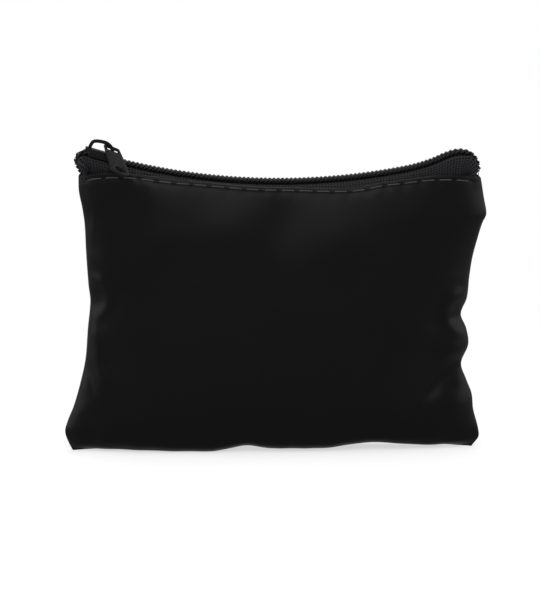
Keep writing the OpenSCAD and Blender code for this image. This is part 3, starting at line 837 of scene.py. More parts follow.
@dataclass(frozen=True)
class PurseForm:
    """The form that both panels share: the surface of the construction's panels, but for the
    corners and arches of the base, which follow the photograph's outline up to 1 mm more closely.
    s runs from -1 at the left seam to 1 at the right one, and w from 0 at the bottom seam to 1 at
    the hem."""

    half_width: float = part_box("front_panel")[1].x / MM
    seam_top: float = 82.0
    # Half the purse's depth at its fullest and at the hem
    belly: float = 11.5
    hem: float = 7.7
    cloth: float = 0.7
    seam_gap: float = 0.1
    hem_dip: float = 3.4
    arch_height: float = 2.0
    corner_lift: float = 0.05
    section_power: float = 2.8
    section_root: float = 0.46
    edge_power: float = 4.0
    # Share of the way up a seam, then its distance from the middle as a share of half the width
    left_seam_shares: Knots = Knots((
        (0, 0.965), (0.03, 0.985), (0.07, 1), (0.11, 0.985), (0.16, 0.957), (0.24, 0.925),
        (0.33, 0.898), (0.44, 0.885), (0.54, 0.872), (0.6, 0.88), (0.72, 0.89), (0.82, 0.896),
        (0.88, 0.907), (0.94, 0.922), (1, 0.924),
    ))
    right_seam_shares: Knots = Knots((
        (0, 0.95), (0.035, 0.98), (0.07, 0.975), (0.14, 0.948), (0.2, 0.938), (0.25, 0.912),
        (0.31, 0.886), (0.38, 0.919), (0.44, 0.908), (0.49, 0.882), (0.55, 0.91), (0.63, 0.921),
        (0.7, 0.935), (0.78, 0.962), (0.83, 0.982), (0.86, 1), (0.92, 0.988), (1, 0.972),
    ))
    # Share of the way up a panel, then its depth as a share of the belly
    depth_shares: Knots = Knots((
        (0, 0), (0.03, 0.36), (0.055, 0.51), (0.09, 0.66), (0.15, 0.81), (0.25, 0.94), (0.4, 1),
        (0.55, 0.995), (0.7, 0.95), (0.82, 0.885), (0.9, 0.83), (0.955, 0.76), (1, hem / belly),
    ))
    # Share of the way up a panel, then its height as a share of the hem's
    height_shares: Knots = Knots((
        (0, 0), (0.03, 0), (0.055, 0.006), (0.09, 0.024), (0.15, 0.078), (0.25, 0.182),
        (0.4, 0.345), (0.55, 0.512), (0.7, 0.68), (0.82, 0.812), (0.9, 0.9), (0.955, 0.963), (1, 1),
    ))
    # Place along the width as a share of half of it, then the hem's dip there
    dip_shares: Knots = Knots((
        (-0.93, 0), (-0.82, -0.3), (-0.68, -0.25), (-0.5, 0.2), (-0.33, 0.5), (-0.1, 0.88),
        (0.1, 1), (0.3, 1.1), (0.4, 0.98), (0.5, 0.62), (0.6, 0.4), (0.74, 0.1), (0.88, 0.08),
        (0.98, 0.3),
    ))
    # Place along the width, then the rise of the base as a share of the arch's height
    arch_shares: Knots = Knots((
        (-1, 0), (-0.31, 0.05), (-0.13, 0.85), (-0.012, 0.4), (0.21, 0.35), (0.46, 1.1),
        (0.78, 0.3), (1, 0),
    ))
    # Soft dents beside the pinches: place along the width, height, radius and depth, as shares
    # of half the width, the seam's height, half the width and the belly
    dent_shares: tuple[tuple[float, float, float, float], ...] = (
        (-0.8, 0.56, 0.1, 0.14), (-0.82, 0.34, 0.09, 0.12), (0.8, 0.49, 0.1, 0.16),
        (0.78, 0.31, 0.12, 0.22), (0.66, 0.2, 0.14, 0.1), (0.1, 0.93, 0.2, 0.05),
    )
    # Length of the face beside the hem for each unit of w, as a share of the seam's height
    face_share: float = 0.84
    # Steps in s and w over which slopes are measured
    step_s: float = 0.004
    step_w: float = 0.003

    def seam_left(self, w: np.ndarray) -> np.ndarray:
        """X of the left seam."""
        return -self.half_width * self.left_seam_shares.curve(w)

    def seam_right(self, w: np.ndarray) -> np.ndarray:
        """X of the right seam."""
        return self.half_width * self.right_seam_shares.curve(w)

    def skin(self, s: np.ndarray, w: np.ndarray) -> np.ndarray:
        """A point of the front panel's outer face, by the construction's rule.

        X lies between the seams at s. Z blends the belly's rows, which run from the arched base to
        the dipping hem, with straight ones at the seams by the fourth power of s. Depth is the
        belly times its profile over w, the fullness over s and one less the dents.

        Args:
            s: Place from seam to seam, -1 to 1.
            w: Place from the bottom to the hem, 0 to 1.

        Returns:
            Points in millimetres, with the coordinates on the last axis.
        """
        s, w = np.broadcast_arrays(np.asarray(s, float), np.asarray(w, float))
        x = mix(self.seam_left(w), self.seam_right(w), (s + 1) / 2)
        top = self.seam_top - self.hem_dip * self.dip_shares.curve(x / self.half_width)
        base = self.arch_height * self.arch_shares.steps(x / self.half_width)
        inner = mix(base, top, self.height_shares.curve(w))
        edge = mix(self.corner_lift, top, w)
        z = mix(inner, edge, np.abs(s) ** self.edge_power)
        dents = sum(
            d[3] * np.exp(-(((x - d[0] * self.half_width) ** 2 + (z - d[1] * self.seam_top) ** 2)
                            / (d[2] * self.half_width) ** 2))
            for d in self.dent_shares
        )
        full = np.maximum(0, 1 - np.abs(s) ** self.section_power) ** self.section_root
        depth = self.belly * self.depth_shares.curve(w) * full * (1 - dents)
        return points_of(x, -depth - self.seam_gap / 2, z)

    def slopes(self, s: np.ndarray, w: np.ndarray) -> tuple[np.ndarray, np.ndarray]:
        """Directions on the front panel: the difference between two near points on either side.

        Args:
            s: Place from seam to seam, -1 to 1.
            w: Place from the bottom to the hem, 0 to 1.

        Returns:
            The directions along s and along w, not of unit length.
        """
        after, before = np.minimum(1, s + self.step_s), np.maximum(-1, s - self.step_s)
        above, under = np.minimum(1, w + self.step_w), np.maximum(0, w - self.step_w)
        return self.skin(after, w) - self.skin(before, w), self.skin(s, above) - self.skin(s, under)

    def normal(self, s: np.ndarray, w: np.ndarray) -> np.ndarray:
        """Outward unit normal of the front panel's face."""
        return unit(np.cross(*self.slopes(np.asarray(s, float), np.asarray(w, float))))

    def below(self, s: np.ndarray, w: np.ndarray, depth: np.ndarray | float) -> np.ndarray:
        """A point that lies a depth below the front panel's outer face."""
        depth = np.asarray(depth, float)[..., None]
        return self.skin(s, w) - depth * self.normal(s, w)


@dataclass(frozen=True)
class StitchRow:
    """The top stitching: the construction's stitches, whose row runs further in from the hem at
    its ends, and the marks that they leave in the cloth."""

    form: PurseForm
    length: float = 4.1
    pitch: float = 5.1
    inset: float = 1.4
    end_inset: float = 1.1
    end_power: int = 3
    section_length_share: float = 1.2
    stitched_share: float = 0.97
    # The marks: dimples at the needle holes, a bed under the thread, and low puffs below the row,
    # each with its depth or height and its reaches
    dimple: float = 0.16
    dimple_length: float = 0.75
    dimple_width: float = 0.6
    bed: float = 0.1
    bed_width: float = 0.42
    puff: float = 0.03
    puff_drop: float = 1.5
    puff_width: float = 1.1
    mark_fade: float = 2.0

    def row(self, s: np.ndarray) -> np.ndarray:
        """The row's place from the bottom to the hem: its inset grows towards both ends by the
        third power of s.

        Args:
            s: Places from seam to seam.

        Returns:
            Places from 0 at the bottom to 1 at the hem.
        """
        inset = self.inset + self.end_inset * np.abs(s) ** self.end_power
        return 1 - inset / (self.form.seam_top * self.section_length_share)

    @property
    def span(self) -> float:
        """Distance between the two seams at the hem."""
        return float(self.form.seam_right(1.0) - self.form.seam_left(1.0))

    @property
    def count(self) -> int:
        """Number of stitches."""
        return math.floor(self.span * self.stitched_share / self.pitch)

    def places(self, run: np.ndarray) -> np.ndarray:
        """Places from seam to seam of points that lie a run past each stitch's start.

        Args:
            run: Lengths past the stitch's start.

        Returns:
            Places from -1 to 1, shaped (stitches, runs).
        """
        start = (np.arange(self.count) - self.count / 2) * self.pitch
        return (start[:, None] + np.asarray(run, float)) / (self.span / 2)

    def marks(self, s: np.ndarray, w: np.ndarray) -> np.ndarray:
        """Depth of the stitching's marks: a bell curve across the row for the thread's bed, one
        both ways for each dimple, and a cosine along the row for the puffs.

        Args:
            s: Places from seam to seam.
            w: Places from the bottom to the hem.

        Returns:
            Depths inwards in millimetres.
        """
        rise = (w - self.row(s)) * self.form.seam_top * self.form.face_share
        row_length = self.count * self.pitch
        run = s * self.span / 2 + self.count / 2 * self.pitch
        fade = self.mark_fade
        sewn = soft((run + fade) / fade) * soft((row_length + fade - run) / fade)
        hole = self.length + (self.pitch - self.length) / 2
        past = (run - hole + self.pitch / 2) % self.pitch - self.pitch / 2
        dimple = self.dimple * np.exp(
            -((past / self.dimple_length) ** 2) - (rise / self.dimple_width) ** 2
        )
        bed = self.bed * np.exp(-((rise / self.bed_width) ** 2))
        puff = self.puff * np.exp(-(((rise + self.puff_drop) / self.puff_width) ** 2))
        return (dimple + bed + puff * np.cos(2 * math.pi * past / self.pitch)) * sewn


@dataclass
class Panel:
    """One coated panel with its turned hem: a closed shell from the bottom seam up its outer face,
    over the hem's fold and down its inner face."""

    form: PurseForm
    stitching: StitchRow
    side: Side
    coat: bpy.types.Material
    backing: bpy.types.Material
    # Columns of the shell, and its rows: where each stretch of them starts and how many it has
    columns: int = 380
    row_stretches: tuple[tuple[float, int], ...] = ((0.0, 12), (0.06, 84), (0.66, 26), (0.93, 18))
    fold_share: float = 0.9898
    fold_steps: int = 8
    # Below the turned hem, the hidden inner face keeps only every third row
    fine_share: float = 0.86
    inner_every: int = 3
    # Length of cloth turned in behind the hem, and the length over which its edge steps down
    hem_turn: float = 8.0
    hem_edge: float = 0.8
    # The groove along the bottom seam, and the fullness beside the left and the right seam
    groove: float = 0.5
    groove_half: float = 0.9
    groove_share: float = 0.02
    side_fullness: tuple[float, float] = (0.45, 0.95)
    side_spread: float = 3.6
    side_power: int = 12
    # Slow waves of hand-turned cloth: height, the X and the Z for one radian, and the start
    waves: tuple[tuple[float, float, float, float], ...] = (
        (0.09, 5.3, 9.1, 0.0), (0.07, 3.9, -6.7, 1.3),
    )
    rear_phase: float = 2.0
    # Puckers at the side seams and at the bottom seam: their sway is that of the phase in radians,
    # then the length for one radian of it
    pucker: float = 0.2
    pucker_pitch: float = 6.4
    bottom_pitch_share: float = 1.3
    side_sway: tuple[float, float] = (1.7, 7.0)
    bottom_sway: tuple[float, float] = (1.9, 11.0)
    side_reach: float = 3.2
    bottom_reach_share: float = 0.09
    seam_power: int = 30
    # How worn the coat is at the bottom edge, the sides and the hem's fold
    bottom_wear: float = 0.5
    bottom_wear_share: float = 0.03
    side_wear: float = 0.25
    side_wear_power: int = 40
    fold_wear: float = 0.8

    def outer_rows(self) -> np.ndarray:
        """Places of the outer face's rows: close at the bottom edge, the wrinkles and the hem.

        Returns:
            Places from the bottom to where the hem's fold begins.
        """
        ends = [start for start, _ in self.row_stretches[1:]] + [self.fold_share]
        return np.concatenate([
            np.linspace(start, end, count, endpoint=end == self.fold_share)
            for (start, count), end in zip(self.row_stretches, ends)
        ])

    def relief(self, s: np.ndarray, w: np.ndarray, skin: np.ndarray) -> np.ndarray:
        """Height of the wrinkles and puckers over the plain form.

        The chosen forms are added up, then the slow waves, each a sine of a sum of X and Z, and
        the puckers: a sine along each seam, whose phase sways by a slower sine.

        Args:
            s: Places from seam to seam.
            w: Places from the bottom to the hem.
            skin: Points of the plain form.

        Returns:
            Heights outwards along Y.
        """
        x, z = skin[..., 0], skin[..., 2]
        forms = FRONT_RELIEF if self.side is Side.FRONT else REAR_RELIEF
        height = sum(form.lift(x, z) for form in forms)
        phase = 0.0 if self.side is Side.FRONT else self.rear_phase
        for tall, wide, high, start in self.waves:
            height = height + tall * np.sin(x / wide + z / high + start + phase)
        from_side = (1 - np.abs(s)) * self.form.half_width
        bottom_pitch = self.pucker_pitch * self.bottom_pitch_share
        for place, pitch, (sway, length), fade in (
            (z, self.pucker_pitch, self.side_sway, np.exp(-from_side / self.side_reach)),
            (x, bottom_pitch, self.bottom_sway, np.exp(-(w / self.bottom_reach_share) ** 2)),
        ):
            turn = 2 * math.pi * place / pitch + sway * np.sin(place / length) + phase
            height = height + self.pucker * np.sin(turn) * fade
        return height * (1 - np.abs(s) ** self.seam_power)

    def face(self, s: np.ndarray, w: np.ndarray) -> np.ndarray:
        """The outer face: the form with its relief and stitching marks laid along Y. Beside each
        side seam it is fuller along X, by a bell curve of its depth, and at the bottom seam it is
        drawn up into a groove.

        Args:
            s: Places from seam to seam.
            w: Places from the bottom to the hem.

        Returns:
            Points in millimetres.
        """
        skin = self.form.skin(s, w)
        out = self.relief(s, w, skin) - self.stitching.marks(s, w)
        near_seam = np.exp(-((skin[..., 1] / self.groove_half) ** 2))
        skin[..., 1] = np.minimum(skin[..., 1] - out, -self.form.seam_gap / 2)
        at_side = np.abs(s) ** self.side_power
        fullness = np.where(s < 0, self.side_fullness[0], self.side_fullness[1])
        beside = (1 - near_seam) * np.exp(-((skin[..., 1] / self.side_spread) ** 2)) * at_side
        skin[..., 0] += np.sign(s) * fullness * beside
        at_bottom = np.exp(-((w / self.groove_share) ** 2))
        skin[..., 2] += self.groove * near_seam * at_bottom * (1 - at_side)
        return skin

    def rings(self) -> tuple[np.ndarray, np.ndarray]:
        """The shell's rings, one for each column, and how worn each point is.

        The columns stand at minus the cosine of even angles, so that they lie close at the seams.
        A ring is the outer face, half a circle over the hem's fold, and the inner face, which lies
        one or two layers of cloth inwards of the outer one along its normals.

        Returns:
            Points shaped (columns, around, 3), and shares from 0 to 1 shaped (columns, around).
        """
        form = self.form
        s = -np.cos(math.pi * np.arange(self.columns + 1) / self.columns)[:, None]
        outer_w = self.outer_rows()[None, :]
        outer = self.face(s, outer_w)
        normal = grid_normals(outer)
        up = unit(np.gradient(outer, axis=1))
        along = unit(np.gradient(outer, axis=0))
        # At the seams the cloth turns inwards, so its thickness is measured in the seam's plane
        side_out = points_of(up[..., 2], 0 * up[..., 2], -up[..., 0])
        for edge, sign in ((0, -1), (-1, 1)):
            normal[edge] = unit(sign * side_out[edge])
        below_out = points_of(along[..., 2], 0 * along[..., 2], -along[..., 0])
        normal[1:-1, 0] = unit(below_out[1:-1, 0])
        for edge, sign in ((0, -1), (-1, 1)):
            normal[edge, 0] = unit(sign * side_out[edge, 0] + below_out[edge, 0])
        # The fold: half a turn whose radius is the cloth's thickness, about the end of the face
        turn = np.linspace(0, math.pi, self.fold_steps + 1)[1:-1]
        last, last_up, last_out = outer[:, -1:], up[:, -1:], normal[:, -1:]
        arc = (
            last
            - form.cloth * (1 - np.cos(turn))[None, :, None] * last_out
            + form.cloth * np.sin(turn)[None, :, None] * last_up
        )
        # The inner face, two layers thick down to the end of the turned hem
        rows = np.arange(outer_w.shape[1] - 1, -1, -1)
        near_hem = outer_w[0, rows] > self.fine_share
        rows = rows[near_hem | (rows % self.inner_every == 0)]
        below_hem = (1 - outer_w[0, rows]) * form.seam_top * form.face_share
        layers = 1 + soft((self.hem_turn - below_hem) / self.hem_edge + 0.5)
        inner = outer[:, rows] - (form.cloth * layers)[None, :, None] * normal[:, rows]
        ring = np.concatenate([outer, arc, inner], axis=1)
        ring[..., 1] = np.minimum(ring[..., 1], -form.seam_gap / 2)
        if self.side is Side.REAR:
            ring[..., 1] *= -1
        wear = np.zeros(ring.shape[:2])
        faces = outer.shape[1]
        at_bottom = np.exp(-((outer_w / self.bottom_wear_share) ** 2))
        at_side = np.abs(s) ** self.side_wear_power
        wear[:, :faces] = self.bottom_wear * at_bottom + self.side_wear * at_side
        wear[:, faces : faces + arc.shape[1]] = self.fold_wear
        return ring, wear

    def build(self) -> bpy.types.Object:
        """Makes the panel's object, with its coat outside and its backing inside.

        Returns:
            The panel.
        """
        label = self.side.name.lower()
        ring, wear = self.rings()
        piece = closed_mesh(f"{label}_panel_cloth", ring)
        mesh = piece.data
        values = mesh.attributes.new("wear", "FLOAT", "POINT")
        values.data.foreach_set("value", wear.astype(np.float32).ravel())
        mesh.materials.append(self.coat)
        mesh.materials.append(self.backing)
        # The coat covers the outer face and the fold. The last two faces close the shell's ends
        around = ring.shape[1]
        coated = len(self.outer_rows()) + self.fold_steps
        place = np.tile(np.arange(around), self.columns)
        bare = np.concatenate([(place >= coated) & (place < around - 1), [True, True]])
        mesh.polygons.foreach_set("material_index", bare.astype(np.int32))
        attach(piece, Body.PURSE.value)
        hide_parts(f"{label}_panel")
        return piece


# The zip


@dataclass(frozen=True)
class Chain:
    """The curve that the zip follows in the plane y = 0: up out of the left seam, round a small
    turn, along a wide valley, over the raised right corner and down into the right seam."""

    form: PurseForm
    # The valley's curve, the drop of its lowest place below the seams' top, and that place's X
    valley_radius: float = 191.85
    valley_drop: float = 3.45
    valley_x: float = 2.5
    left_turn_inset: float = 2.5
    right_turn_inset: float = 1.72
    corner_length: float = 18.35
    corner_rise: float = 4.7
    left_curl: float = 1.5
    # The left end: how far it runs below and above the seam's top, and its room beside the cloth
    end_inset: float = 1.0
    end_room: float = 0.76
    # Thickness of the tape, along whose middle the curve runs
    tape: float = 0.5
    # Points of the curve before it is evened: on the end, the curl, the valley and each stretch of
    # the corner, whose top comes after so many stretches
    end_points: int = 12
    curl_points: int = 24
    valley_points: int = 240
    corner_points: int = 12
    top_stretches: int = 5
    # Share of the valley's right reach at which the point before the corner lies
    lead_share: float = 0.9
    smoothings: int = 6
    step: float = 0.25
    # Places of the corner from the valley's end, as shares of its length and its rise
    corner_shares: tuple[tuple[float, float], ...] = (
        (0, 0), (0.2, 0.2), (0.4, 0.47), (0.58, 0.78), (0.72, 0.96), (0.82, 0.985), (0.92, 0.86),
        (0.985, 0.52), (1, 0.12), (0.96, -0.22),
    )

    @property
    def left_reach(self) -> float:
        """Distance from the valley's lowest place to the left end of its curve."""
        return self.valley_x - float(self.form.seam_left(1.0)) - self.left_turn_inset

    @property
    def right_reach(self) -> float:
        """Distance from the valley's lowest place to the right end of its curve."""
        right_turn = float(self.form.seam_right(1.0)) - self.right_turn_inset
        return right_turn - self.corner_length - self.valley_x

    @property
    def centre(self) -> np.ndarray:
        """Centre of the valley's curve."""
        return np.array([self.valley_x, self.form.seam_top - self.valley_drop + self.valley_radius])

    def valley_point(self, angle: np.ndarray) -> np.ndarray:
        """A point of the valley: the centre less the radius times (sine, cosine)."""
        return self.centre - self.valley_radius * points_of(np.sin(angle), np.cos(angle))

    def path(self) -> tuple[np.ndarray, float, float]:
        """The whole curve, in steps of even length.

        The corner is a cubic between each two of its places, whose slope at a place is half the
        line between its neighbours. The joins are then eased: each pass moves every point halfway
        to the middle of its two neighbours.

        Returns:
            Points (x, z), the length at which the valley starts, and that at which it has passed
            the top of the right corner.
        """
        left = math.asin(self.left_reach / self.valley_radius)
        right = -math.asin(self.right_reach / self.valley_radius)
        hem_x = float(self.form.seam_left(1.0)) + 2 * self.form.cloth
        end_x = hem_x + self.end_room + self.tape / 2
        rise = np.linspace(-self.end_inset, self.end_inset, self.end_points, endpoint=False)
        start = points_of(end_x + 0 * rise, self.form.seam_top + rise)
        hub = self.valley_point(left) - self.left_curl * np.array([math.sin(left), math.cos(left)])
        angle = np.linspace(math.pi, math.pi / 2 - left, self.curl_points, endpoint=False)
        curl = hub + self.left_curl * points_of(np.cos(angle), np.sin(angle))
        valley = self.valley_point(np.linspace(left, right, self.valley_points, endpoint=False))
        shares = np.array(self.corner_shares)
        knots = self.valley_point(right) + shares * [self.corner_length, self.corner_rise]
        lead = self.valley_point(right * self.lead_share)
        knots = np.concatenate([[lead], knots, knots[-1:]])
        u = (np.arange(self.corner_points) / self.corner_points)[None, :, None]
        a, b, c, d = (knots[j : len(knots) - 3 + j, None] for j in range(4))
        bend = (
            2 * b + (c - a) * u
            + (2 * a - 5 * b + 4 * c - d) * u**2
            + (3 * b - a - 3 * c + d) * u**3
        )
        corner = (bend / 2).reshape(-1, 2)
        line = np.concatenate([start, curl, valley, corner, knots[-1:]])
        level_start = len(start) + len(curl)
        level_end = level_start + len(valley) + self.top_stretches * self.corner_points
        for _ in range(self.smoothings):
            line[1:-1] = 0.25 * line[:-2] + 0.5 * line[1:-1] + 0.25 * line[2:]
        runs = lengths_along(line)
        even = np.linspace(0, runs[-1], math.ceil(runs[-1] / self.step) + 1)
        points = points_of(np.interp(even, runs, line[:, 0]), np.interp(even, runs, line[:, 1]))
        return points, float(runs[level_start]), float(runs[level_end])


@dataclass
class ChainTable:
    """The chain's curve worked out once, and read at any length along it."""

    chain: Chain
    points: np.ndarray = field(init=False)
    runs: np.ndarray = field(init=False)
    normals: np.ndarray = field(init=False)
    level_start: float = field(init=False)
    level_end: float = field(init=False)

    def __post_init__(self) -> None:
        """Works out the curve, its running lengths and its normals."""
        self.points, self.level_start, self.level_end = self.chain.path()
        self.runs = lengths_along(self.points)
        along = unit(np.gradient(self.points, axis=0))
        self.normals = points_of(-along[:, 1], along[:, 0])

    @property
    def length(self) -> float:
        """Length of the whole chain."""
        return float(self.runs[-1])

    def beside(
        self, run: np.ndarray, y: np.ndarray | float, lift: np.ndarray | float
    ) -> np.ndarray:
        """Points at a length along the chain, y across it and a lift above the tape's middle.

        Args:
            run: Length along the chain.
            y: Distance across, with the front at negative values.
            lift: Height above the tape's middle, square to the chain.

        Returns:
            Points in millimetres.
        """
        run, y, lift = np.broadcast_arrays(np.asarray(run, float), y, lift)
        place = [np.interp(run, self.runs, self.points[:, j]) for j in range(2)]
        out = [np.interp(run, self.runs, self.normals[:, j]) for j in range(2)]
        return points_of(place[0] + lift * out[0], y, place[1] + lift * out[1])


@dataclass
class Tape:
    """One woven tape of the zip: level under the coil, then turned down and in under the hem."""

    table: ChainTable
    side: Side
    weave: bpy.types.Material
    # Half the gap between the two tapes, and the slider that they make room for
    inner: float = 0.5
    slot_half: float = 0.5
    plate: float = 0.55
    side_clear: float = 0.35
    slider_half: float = 3.4
    # Room between a tape and the hem's fold, and the tape's rows under the hem
    tape_gap: float = 0.16
    row_shares: tuple[float, float, float] = (0.992, 0.98, 0.965)
    # Towards both ends the level part narrows and its outer row rises to the coil's edge
    end_run: float = 3.0
    end_s: float = 0.965
    end_half: float = 2.45
    end_rise: float = 1.1
    end_rise_rate: float = 2.5
    # Share of the way down to the fold at which the tape bends where it can't turn down
    bend_share: float = 0.15
    # The flap past the coil's end, which lies towards the hem's corner
    flap_s: float = 0.998
    flap_steps: int = 6
    flap_step: float = 0.5
    flap_bulge: float = 1.6
    station: float = 0.6
    corner_passes: int = 2

    @property
    def depth(self) -> float:
        """Depth of the tape's middle line below the panel's outer face, under the hem."""
        chain = self.table.chain
        return 2 * chain.form.cloth + self.tape_gap + chain.tape / 2

    def rows(self, run: np.ndarray) -> np.ndarray:
        """The tape's section at lengths along the chain.

        It runs level under the coil, turns down beside the slider's path, and passes under the
        hem's fold. Where the panels leave no room for that, it slopes straight to the fold.

        Args:
            run: Lengths along the chain.

        Returns:
            Points of the section's middle line, shaped (stations, 8, 3).
        """
        table, chain = self.table, self.table.chain
        form = chain.form
        ease = soft((np.minimum(run, table.length - run) - 2 * chain.end_inset) / self.end_run)
        left, right = float(form.seam_left(1.0)), float(form.seam_right(1.0))
        level_s = (table.beside(run, 0.0, 0.0)[:, 0] - left) / (right - left) * 2 - 1
        first_s = float(np.interp(table.level_start, run, level_s))
        last_s = float(np.interp(table.level_end, run, level_s))
        past_left = 1 - run / table.level_start
        past_right = 1 - (table.length - run) / (table.length - table.level_end)
        before = mix(-self.end_s, first_s, run / table.level_start)
        after = mix(last_s, self.end_s, past_right)
        s = np.where(run > table.level_end, after, level_s)
        s = np.where(run < table.level_start, before, s)
        inner = table.beside(run, -self.inner, 0.0)
        turn = mix(self.end_half, self.slider_half + self.side_clear, ease)
        rise = self.end_rise * soft(self.end_rise_rate * np.maximum(past_left, past_right))
        level = table.beside(run, -turn, rise)
        fold = form.below(s, np.ones_like(s), self.depth)
        narrow = soft((fold[:, 1] - level[:, 1]) / self.side_clear)
        turn_depth = self.slot_half + self.plate + self.side_clear
        slope_z = mix(level[:, 2], fold[:, 2], self.bend_share)
        bend_z = mix(slope_z, level[:, 2] - turn_depth, narrow)
        bend = points_of(
            mix(level[:, 0], fold[:, 0], 0.5), np.minimum(level[:, 1], fold[:, 1]), bend_z
        )
        throat_z = fold[:, 2] + np.maximum(0, np.minimum(chain.tape, bend_z - fold[:, 2]))
        throat = points_of(fold[:, 0], fold[:, 1], throat_z)
        shoulder = mix((level + 2 * bend + fold) / 4, bend, narrow[:, None])
        under = [form.below(s, np.full_like(s, w), self.depth) for w in self.row_shares]
        return np.stack([inner, mix(inner, level, 0.5), level, shoulder, throat, *under], axis=1)

    def flap(self, end: np.ndarray, sign: float) -> np.ndarray:
        """The tape's end past the coil, which lies down towards the hem's corner: each step moves
        the end's rows a share of the way to the row that lies under the hem nearer the seam.

        Args:
            end: The section at the chain's end, shaped (1, rows, 3).
            sign: -1 for the left end and 1 for the right one.

        Returns:
            Points of the further sections, from the chain's end outwards.
        """
        form = self.table.chain.form
        w = np.concatenate([np.ones(end.shape[1] - len(self.row_shares)), self.row_shares])
        corner = form.below(np.full_like(w, sign * self.flap_s), w, self.depth)
        corner[:, 1] = np.minimum(corner[:, 1], -form.cloth)
        share = (np.arange(1, self.flap_steps + 1) / self.flap_steps)[:, None, None]
        bulge = points_of(sign * self.flap_bulge * np.sin(math.pi * share[..., 0]), 0.0, 0.0)
        return mix(end, corner[None], share) + bulge

    def build(self) -> bpy.types.Object:
        """Makes the tape's object: its section's middle line, rounded and given its thickness.

        Returns:
            The tape.
        """
        label = self.side.name.lower()
        count = math.ceil(self.table.length / self.station) + 1
        run = np.linspace(0, self.table.length, count)
        rows = self.rows(run)
        first, last = self.flap(rows[:1], -1.0), self.flap(rows[-1:], 1.0)
        middle = cut_corners(np.concatenate([first[::-1], rows, last]), self.corner_passes)
        past = self.flap_step * np.arange(1, self.flap_steps + 1)
        run = np.concatenate([-past[::-1], run, self.table.length + past])
        out = grid_normals(middle)
        half = self.table.chain.tape / 2
        ring = np.concatenate([middle + half * out, (middle - half * out)[:, ::-1]], axis=1)
        across = lengths_along(middle)
        v = np.concatenate([across, across[:, ::-1], across[:, :1]], axis=1)
        grain = points_of(np.broadcast_to(run[:, None], v.shape), v)
        if self.side is Side.REAR:
            ring = ring * [1, -1, 1]
        piece = closed_mesh(f"{label}_tape_weave", ring, grain, sharp_deg=60)
        piece.data.materials.append(self.weave)
        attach(piece, Body.PURSE.value)
        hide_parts(f"{label}_zip_tape")
        return piece


